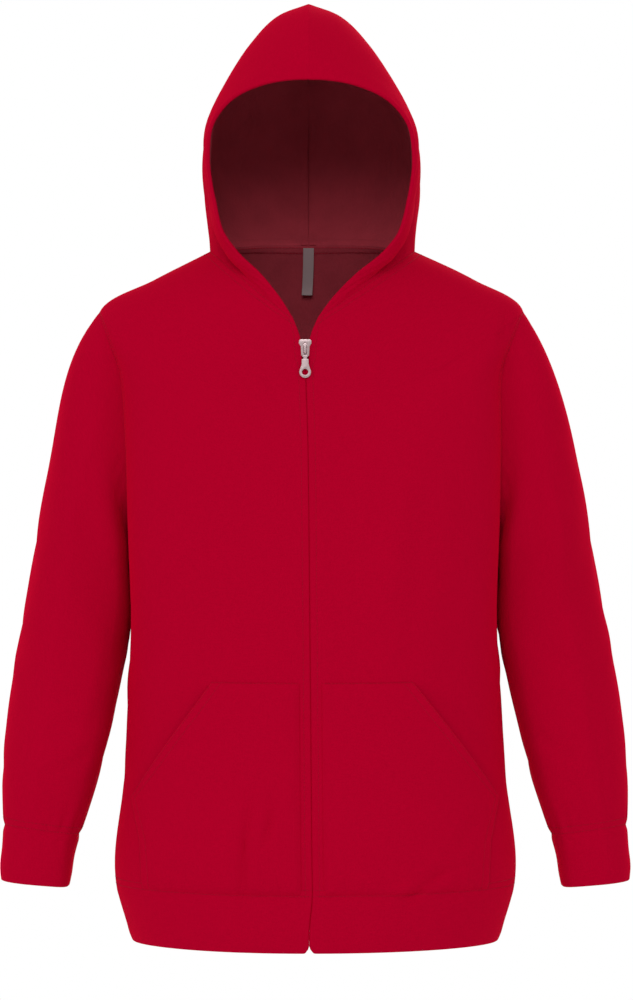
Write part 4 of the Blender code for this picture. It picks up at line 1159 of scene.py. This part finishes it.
share_normals(list(cloth.values()))
for name, piece in cloth.items():
    piece["away"] = border_distances(piece["grid"], piece["closed"])
    height = (fold_height(name, piece) + crease_height(piece["grid"], piece["shared"])
              + pucker_height(name, piece["away"]))
    piece["grid"] = piece["grid"] + piece["shared"] * height[..., None]
    piece["normals"] = grid_normals(piece["grid"], piece["flip"], piece["closed"])
share_normals(list(cloth.values()))
for piece in cloth.values():
    walls(piece)


# Pockets
# Two patch pockets, topstitched along the top, the side and the mouth, sewn flat beside the zip
# and caught in the waistband seam. The slanting mouth is open and stands off a little.
# reach: how far the free edge lies from the centre line, by way up from the waistband seam.
POCKET = (
    ("up", "reach"),
    (0.5, 151.5),
    (45, 153.5),
    (81, 161.0),
    (186, 88.0),
)
POCKET_START = 9.5
# How far the pocket's middle lies off the front's at its sewn edges and within them
POCKET_SEWN_OFF = 2.3
POCKET_OFF = 3.5
POCKET_OFF_OVER = 16
POCKET_EDGE_DOWN = 1.15
POCKET_EDGE_OVER = 1.4
POCKET_MOUTH_RISE = 3.6
# Its foot, top and zip side are pressed down into the front
POCKET_SINK = 1.15
POCKET_SINK_OVER = 7.0
POCKET_FOOT_OVER = 9.0


def spot(grid, rows, columns):
    """Points on a grid at fractional rows and columns."""
    row = np.clip(np.floor(rows).astype(int), 0, grid.shape[0] - 2)
    col = np.clip(np.floor(columns).astype(int), 0, grid.shape[1] - 2)
    f = (rows - row)[..., None]
    g = (columns - col)[..., None]
    return ((1 - f) * (1 - g) * grid[row, col] + f * (1 - g) * grid[row + 1, col]
            + (1 - f) * g * grid[row, col + 1] + f * g * grid[row + 1, col + 1])


def pocket(under, normals):
    """The +X pocket on its front's points, and its cut: held down near its sewn edges, and
    lifted along the mouth by a sine of the way up it."""
    levels = column(POCKET, "up")
    foot, corner, top = levels[[0, -2, -1]]
    up = np.concatenate((foot + spaced(corner - foot, SEAM_LINES, (0,))[:-1],
                         corner + spaced(top - corner, (0,), SEAM_LINES)))
    rows = np.interp(up, UPS, np.arange(len(UPS)))
    number = np.arange(under.shape[1], dtype=float)
    ends = []
    for row, far in zip(rows, np.interp(up, levels, column(POCKET, "reach"))):
        x = spot(under, np.full(number.shape, row), number)[:, 0]
        widest = np.argmax(x)
        ends.append(np.interp((POCKET_START, far), x[:widest], number[:widest]))
    way = np.interp(np.array(ends), number, front_across[0])
    across = spread(way[:, 1] - way[:, 0])
    columns = np.interp(way[:, :1] + across, front_across[0], number)
    rows = np.repeat(rows[:, None], columns.shape[1], 1)
    cut = flat_cut(way[:, :1] + across, up)
    up = up[:, None]
    side = across[:, -1:] - across
    above_foot = up - foot
    held = np.minimum(across, top - up)
    sewn = np.minimum(held, np.where(up < corner, side, np.hypot(side, up - corner)))
    mouth = np.sin(np.pi * np.clip((up - corner) / (top - corner), 0, 1))
    off = POCKET_SEWN_OFF + (POCKET_OFF - POCKET_SEWN_OFF) * swell(
        np.minimum(sewn, above_foot) / POCKET_OFF_OVER)
    off = off - POCKET_EDGE_DOWN * (1 - np.clip(sewn / POCKET_EDGE_OVER, 0, 1)) ** 3
    off = off + POCKET_MOUTH_RISE * mouth * (across / across[:, -1:]) ** 4
    off = off - POCKET_SINK * (1 - swell(np.minimum(held, above_foot) / POCKET_SINK_OVER))
    off = off - POCKET_EDGE_DOWN * (1 - swell(above_foot / POCKET_FOOT_OVER))
    return spot(under, rows, columns) + spot(normals, rows, columns) * off[..., None], cut


def lone_walls(piece):
    """A piece that shares no seam, with its sheets."""
    piece["shared"] = piece["normals"]
    walls(piece)
    return piece


for side, turned, mirror in SIDES:
    under = cloth["front_" + side]
    patch, patch_cut = pocket(under["grid"] * mirror, under["normals"] * mirror)
    cloth["pocket_" + side] = lone_walls(cloth_piece(
        patch * mirror, patch_cut, turned,
        {"low": "pressed", "high": "pressed", "start": "pressed", "end": "pocket"}))


# Topstitching
# Lockstitch in matching thread, in rows beside the seams. Each stitch is a short length of
# thread whose two ends go down into the cloth.
STITCH = 3.0
THREAD = 0.24
THREAD_SIDES = 5
# Places along a stitch, in stitch lengths, with the thread's thickness and its height there
STITCH_FORM = (
    ("along", "thick", "height"),
    (-0.44, 0.3, -0.5),
    (-0.30, 1.0, 0.35),
    (0.30, 1.0, 0.35),
    (0.44, 0.3, -0.5),
)
# Rows on each kind of piece: border, sheet, and distances from the seam
TWIN = (1.4, 7.0)
ROWS = {
    "front": (("low", "outer", TWIN), ("high", "outer", TWIN), ("start", "outer", (6.2,)),
              ("end", "outer", TWIN)),
    "back": (("low", "outer", TWIN), ("high", "outer", TWIN), ("high", "inner", TWIN),
             ("start", "outer", TWIN), ("end", "outer", TWIN)),
    "sleeve": (("high", "outer", TWIN),),
    "pocket": (("high", "outer", (1.4,)), ("end", "outer", (1.4, 9.4))),
}


def beside(name, border, sheet, offset):
    """Points and outward normals on a sheet of a piece at a distance from a border. At the body
    panels' sides only the armhole's stretch is given."""
    piece = cloth[name]
    parts = [piece[sheet], piece["shared"] * (1 if sheet == "outer" else -1),
             piece["away"][border]]
    if border in ("low", "high"):
        parts = [part.swapaxes(0, 1) for part in parts]
    if border in ("high", "end"):
        parts = [part[:, ::-1] for part in parts]
    body_side = name == "back" and border in ("start", "end")
    if body_side or name.startswith("front") and border == "end":
        parts = [part[UNDERARM_ROW:SHOULDER_ROW + 1] for part in parts]
    off = parts.pop()
    line = np.arange(len(off))
    at = np.clip((off < offset).sum(axis=1) - 1, 0, off.shape[1] - 2)
    share = ((offset - off[line, at]) / (off[line, at + 1] - off[line, at]))[:, None]
    lines = [part[line, at] * (1 - share) + part[line, at + 1] * share for part in parts]
    if piece["closed"]:
        lines = [np.vstack((points, points[:1])) for points in lines]
    return lines


def sew(line, facing):
    """Points (stitches, places, sides, 3) of the stitches along a line: rings round the thread
    at each place, square to it."""
    way = way_along(line)
    count = max(1, int(way[-1] / STITCH))
    middle = (np.arange(count) + 0.5) * way[-1] / count
    at = middle[:, None] + column(STITCH_FORM, "along") * STITCH
    centre = on_line(at, way, line)
    ahead = centre[:, -1:] - centre[:, :1] + 0 * centre
    across = unit(np.cross(ahead, on_line(at, way, facing)))
    normal = unit(np.cross(across, ahead))
    thick, high = (column(STITCH_FORM, name)[:, None, None] * THREAD
                   for name in ("thick", "height"))
    turns = circle(THREAD_SIDES)[:, None]
    return (centre[:, :, None] + across[:, :, None] * np.cos(turns) * thick
            + normal[:, :, None] * (np.sin(turns) * thick + high))


def rods(name, rings, material):
    """A mesh of closed rods, each of rings of points (rods, rings, sides, 3)."""
    number = np.arange(rings.size // 3).reshape(rings.shape[:3])
    beyond = np.roll(number, -1, axis=2)
    faces = quads(number[:, :-1], beyond[:, :-1], beyond[:, 1:], number[:, 1:]).tolist()
    faces += number[:, 0, ::-1].tolist() + number[:, -1].tolist()
    mesh = new_mesh(name, rings, faces, [material])
    mesh.shade_smooth()
    return in_scene(name, mesh)


def plain_surface(name, colour, roughness, grain, depth, metallic=0.0, specular=0.5):
    """A surface of one colour with a fine noise relief; grain and depth are in mm."""
    made, tree, shader = new_material(name, linear(colour), {
        "Roughness": roughness, "Metallic": metallic, "Specular IOR Level": specular})
    place = add(tree, "ShaderNodeTexCoord").outputs["Object"]
    emboss(tree, shader, noise(tree, place, grain, Detail=3.0), 0.5, depth)
    return made


def belongs(made, node=None, moves_with="hoodie"):
    """Names the body that a mesh rides on, and the CAD node that it
    replaces."""
    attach(made, moves_with)
    if node:
        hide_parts(node)
    return made


# Spun polyester thread, a shade deeper than the fleece
THREAD_RED = plain_surface("spun_polyester_thread", "#A80026", 0.8, 0.5, 0.1, specular=0.15)
# What each piece hangs from; the side is added where the other piece has one
HUNG_FROM = {"front": "back", "back": "front_left", "sleeve": "front", "cuff": "sleeve",
             "hood": "front", "waistband": "back", "pocket": "front"}
for name, piece in cloth.items():
    kind = name.split("_")[0]
    piece["object"] = belongs(
        shell(name + "_cloth", piece, [KNIT, NAP] if piece["thick"] == FLEECE else [KNIT]),
        name)
    piece["sewing"] = []
    rows = [sew(*beside(name, border, sheet, off))
            for border, sheet, offsets in ROWS.get(kind, ()) for off in offsets]
    if rows:
        thread = rods(name + "_stitches", np.concatenate(rows), THREAD_RED)
        piece["sewing"].append(belongs(thread))
for name, piece in cloth.items():
    kind, _, side = name.partition("_")
    holder = HUNG_FROM[kind]
    if holder not in cloth:
        holder += "_" + side


# Neck label
# A narrow woven tab with nothing on it, caught in the back neck seam, its foot curling forwards.
LABEL_HALF = 4.8
LABEL_TOP = 6.5
LABEL_BOTTOM = -35.5
LABEL_THICK = 0.6
LABEL_COLUMNS = 9
LABEL_INSIDE = 3.4
LABEL_CURL = 1.6
LABEL_BOW = 0.4

label_z = LABEL_BOTTOM + spaced(LABEL_TOP - LABEL_BOTTOM, FOLD_LINES, (0,))
label_x = np.linspace(-LABEL_HALF, LABEL_HALF, LABEL_COLUMNS)
nape_line = cloth["back"]["grid"][:, BACK_MIDDLE]
order = np.argsort(nape_line[:, 2])
label_y = np.interp(label_z, nape_line[order, 2], nape_line[order, 1]) - LABEL_INSIDE
low = np.clip((LABEL_TOP - label_z) / (LABEL_TOP - LABEL_BOTTOM), 0, 1)
label_y = (label_y[:, None] - LABEL_CURL * low[:, None] ** 3
           - LABEL_BOW * (label_x / LABEL_HALF) ** 2)
label_cut = flat_cut(label_x, label_z)
label = lone_walls(cloth_piece(
    np.stack((label_cut[..., 0], label_y, label_cut[..., 1]), axis=2), label_cut, False,
    thick=LABEL_THICK))
# Close-woven satin tape in grey
LABEL_GREY = plain_surface("woven_satin_label", "#A39092", 0.6, 0.4, 0.08, specular=0.3)
made = belongs(shell("neck_label_tab", label, [LABEL_GREY]), "neck_label")


# Zip
# A number 5 coil zip: two woven tapes behind the front edges, coils sewn to their edges and
# closed up to the slider, and a metal stop at the foot.
TAPE_WIDTH = 11.0
TAPE_THICK = 0.9
TAPE_LINES = (0, 0.05, 0.3, 0.6, 0.95, 1)
# How far the coil and the tape lie behind the middle of the front edges
ZIP_BEHIND = 2.4
TAPE_BEHIND = 3.4
# The tapes follow the cloth between its edge and this column of its points
ZIP_COLUMN = 12
CHAIN_TOP = -97.0
CHAIN_OPEN = -84.0
CHAIN_END = -66.0
# The open coils lie this far behind the cloth's edges
COIL_BEHIND = 1.2
STOP_LENGTH = 5.0
STOP_RISE = 0.5
# The tapes end above the band's rounded corners
ZIP_RISE = 6.5
TOOTH_PITCH = 2.4
TOOTH_SIDES = 6
# A tooth from its root on the tape to its tip past the centre line: x, half width along the
# zip, and half depth
TOOTH = (
    (3.0, 0.45, 0.7),
    (2.4, 0.62, 0.95),
    (0.4, 0.62, 0.95),
    (-0.5, 0.35, 0.6),
)

front_edge, next_in = (
    np.concatenate((cloth["waistband"]["grid"][:0:-1, at], cloth["front_left"]["grid"][:, at]))
    for at in (0, ZIP_COLUMN))
above_foot = front_edge[:, 2] > front_edge[0, 2] + ZIP_RISE
front_edge = front_edge[above_foot]
inward = unit(next_in[above_foot] - front_edge)
edge_tangent = np.gradient(front_edge, axis=0)
ahead = unit(np.stack((edge_tangent[:, 0] * 0, -edge_tangent[:, 2], edge_tangent[:, 1]), axis=1))
tape_start = front_edge * (0, 1, 1)
tape_start[:, 0] = zip_edge(front_edge[:, 2], "tape")
tape_end = front_edge + inward * (TAPE_WIDTH + tape_start[:, :1] - front_edge[:, :1])
share = np.array(TAPE_LINES)[None, :, None]
tape_grid = (tape_start[:, None] * (1 - share) + tape_end[:, None] * share
             - ahead[:, None] * TAPE_BEHIND)
tape_cut = flat_cut(np.array(TAPE_LINES) * TAPE_WIDTH, front_edge[:, 2])
# Plain-woven polyester tape, and nylon coil with a slight gloss
TAPE_RED = plain_surface("woven_polyester_tape", "#86001D", 0.85, 0.6, 0.15, specular=0.15)
COIL_RED = plain_surface("nylon_coil", "#9A0A28", 0.45, 0.5, 0.04, specular=0.4)
for side, turned, mirror in SIDES:
    tape = lone_walls(cloth_piece(tape_grid * mirror, tape_cut, turned, thick=TAPE_THICK))
    made = belongs(shell("zip_tape_" + side + "_cloth", tape, [TAPE_RED]),
                   "zip_tape_" + side)

centre_line = front_edge * (0, 1, 1) - ahead * ZIP_BEHIND
zip_foot = centre_line[0, 2] + STOP_RISE
turns = circle(TOOTH_SIDES)
tooth_x, tooth_half, tooth_deep = np.array(TOOTH).T[:, :, None]
rings = []
for outwards, start in ((1, TOOTH_PITCH / 2), (-1, 0)):
    z = np.arange(zip_foot + STOP_LENGTH + 1 + start, CHAIN_END, TOOTH_PITCH)
    y = np.interp(z, centre_line[:, 2], centre_line[:, 1])
    apart = np.interp(z, (CHAIN_TOP, CHAIN_OPEN), (0, 1)) * (zip_edge(z) + COIL_BEHIND)
    ring = np.empty((len(z), len(TOOTH), TOOTH_SIDES, 3))
    ring[..., 0] = outwards * (tooth_x + apart[:, None, None])
    ring[..., 1] = y[:, None, None] - outwards * tooth_deep * np.sin(turns)
    ring[..., 2] = z[:, None, None] + tooth_half * np.cos(turns)
    rings.append(hang(ring))
belongs(rods("zip_teeth", np.concatenate(rings), COIL_RED), "zip_chain")


# Slider and pull tab
# Die-cast zinc with a satin nickel finish: a slider with a crown, and a bail that holds a pull
# tab with a slot at its head and a round hole in its wide foot. The tab, which swings on the
# bail, rides on a body of its own.
SLIDER_PLACE = (-5.942, -94.429, -81.5)
PULL_PLACE = (-5.942, -97.879, -86.6)
# Right-hand side of the slider's plates, downwards from the crown's corner
SLIDER_SIDE = (
    (4.4, 0),
    (5.6, -1.2),
    (5.6, -3.8),
    (4.0, -6.2),
    (3.6, -14.0),
    (2.8, -15.2),
)
# The slider's parts: outlines in boxes with corner radii, depths, and bevels
PLATE_AHEAD = (-1.6, 1.6, 0.5)
PLATE_BEHIND = (4.2, 5.6, 0.4)
POST = ((-1.4, -6.4), (1.4, -2.6), 0.6)
POST_DEPTHS = (1.3, 4.5, 0.1)
BAIL = ((-6.6, -12.6), (-1.1, -2.6), 1.6)
BAIL_HOLE = ((-5.3, -11.2), (-1.6, -4.0), 0.6)
BAIL_DEPTHS = (-1.1, 1.1, 0.3)
STOP = ((-2.7, 0), (2.7, STOP_LENGTH), 0.8)
STOP_DEPTHS = (-1.0, 1.0, 0.35)
PULL_DEPTHS = (-0.65, 0.65, 0.3)
PULL_BAR = 0.9
PULL_LENGTH = 30.0
PULL_FOOT_HALF = 5.2
PULL_FOOT_TURN = 28
PULL_HOLE_RADIUS = 2.7
# Right-hand side of the tab from above the foot to the bar: a shoulder, a narrow neck and the
# loop round the bail
PULL_SIDE = (
    (3.1, -17.0),
    (3.1, -13.0),
    (2.8, -12.4),
    (1.5, -12.2),
    (1.5, -11.3),
    (2.4, -10.4),
    (2.4, 0.2),
    (1.7, 0.9),
)
PULL_WINDOW = ((-1.35, -9.0), (1.35, -PULL_BAR), 0.6)
CORNER_STEPS = 4
FOOT_STEPS = 32
HOLE_STEPS = 24
BEVEL_STEPS = 2
# Points of a plate nearer than this are one
PLATE_GRAIN = 0.004


def arc(centre_x, centre_z, radius, start, stop, steps):
    """Points of an arc, in degrees from +X towards +Z."""
    turns = np.radians(np.linspace(start, stop, steps + 1))
    return [(centre_x + radius * math.cos(t), centre_z + radius * math.sin(t)) for t in turns]


def rounded_box(low, high, radius):
    """Outline of a rectangle between two corners, with rounded corners."""
    left, right = low[0] + radius, high[0] - radius
    foot, head = low[1] + radius, high[1] - radius
    corners = ((right, foot, -90), (right, head, 0), (left, head, 90), (left, foot, 180))
    return [point for x, z, turn in corners
            for point in arc(x, z, radius, turn, turn + 90, CORNER_STEPS)]


def both_sides(right):
    """A right-hand side and, in the other order, its mirror image."""
    return list(right) + [(-x, z) for x, z in reversed(right)]


def plate(outlines, near, far, bevel, sideways=False):
    """Points and faces of a plate with rounded edges between two depths, of an outer outline
    and its holes in (x, z), or in (y, z) for a plate that stands sideways."""
    curve = bpy.data.curves.new("plate", "CURVE")
    curve.dimensions = "2D"
    curve.fill_mode = "BOTH"
    curve.extrude = ((far - near) / 2 - bevel) * MM
    curve.bevel_depth = bevel * MM
    curve.bevel_resolution = BEVEL_STEPS
    curve.offset = -bevel * MM
    for outline in outlines:
        spline = curve.splines.new("POLY")
        spline.points.add(len(outline) - 1)
        for point, (x, z) in zip(spline.points, outline):
            point.co = (x * MM, z * MM, 0, 1)
        spline.use_cyclic_u = True
    holder = in_scene("plate", curve)
    graph = bpy.context.evaluated_depsgraph_get()
    mesh = bpy.data.meshes.new_from_object(holder.evaluated_get(graph))
    made = bmesh.new()
    made.from_mesh(mesh)
    bpy.data.objects.remove(holder)
    bpy.data.curves.remove(curve)
    bpy.data.meshes.remove(mesh)
    bmesh.ops.remove_doubles(made, verts=made.verts, dist=PLATE_GRAIN * MM)
    bmesh.ops.recalc_face_normals(made, faces=made.faces)
    middle = (near + far) / 2 * MM
    for vert in made.verts:
        x, z, depth = vert.co
        vert.co = (middle + depth, x, z) if sideways else (x, middle - depth, z)
    return made


def metal(name, parts, place, node, moves_with="hoodie"):
    """One nickel-plated object of several bmeshes that stands for a CAD node."""
    mesh = bpy.data.meshes.new(name)
    joined = bmesh.new()
    for part in parts:
        single = bpy.data.meshes.new("part")
        part.to_mesh(single)
        part.free()
        joined.from_mesh(single)
        bpy.data.meshes.remove(single)
    bmesh.ops.translate(joined, verts=joined.verts, vec=Vector(place) * MM)
    joined.to_mesh(mesh)
    joined.free()
    mesh.materials.append(NICKEL)
    mesh.shade_smooth()
    mesh.set_sharp_from_angle(angle=math.radians(SHARP_ANGLE))
    belongs(in_scene(name, mesh), node, moves_with)


# Satin nickel plating
NICKEL = plain_surface("satin_nickel_plated_zinc", "#C6B0B2", 0.4, 1.4, 0.03, metallic=1.0)
shield = both_sides(SLIDER_SIDE)[::-1]
metal("slider_body", [
    plate([shield], *PLATE_AHEAD),
    plate([shield], *PLATE_BEHIND),
    plate([rounded_box(*POST)], *POST_DEPTHS),
    plate([rounded_box(*BAIL), rounded_box(*BAIL_HOLE)], *BAIL_DEPTHS, sideways=True),
], SLIDER_PLACE, "zip_slider")

foot_z = PULL_BAR - PULL_LENGTH + PULL_FOOT_HALF
tab_foot = arc(0, foot_z, PULL_FOOT_HALF, 180 - PULL_FOOT_TURN, 360 + PULL_FOOT_TURN, FOOT_STEPS)
hole = arc(0, foot_z, PULL_HOLE_RADIUS, 0, 360, HOLE_STEPS)[:-1]
metal("pull_tab_plate", [
    plate([tab_foot + both_sides(PULL_SIDE), rounded_box(*PULL_WINDOW), hole], *PULL_DEPTHS),
], PULL_PLACE, "zip_pull", "pull_tab")

stop_y = np.interp(zip_foot + STOP_LENGTH / 2, centre_line[:, 2], centre_line[:, 1])
stop_x = hang(np.array([[0, 0, zip_foot]]))[0, 0]
metal("zip_stop_clamp", [plate([rounded_box(*STOP)], *STOP_DEPTHS)],
      (stop_x, stop_y, zip_foot), "zip_stop")


# Size: bounds of the shown objects, without the backdrop
low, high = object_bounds()
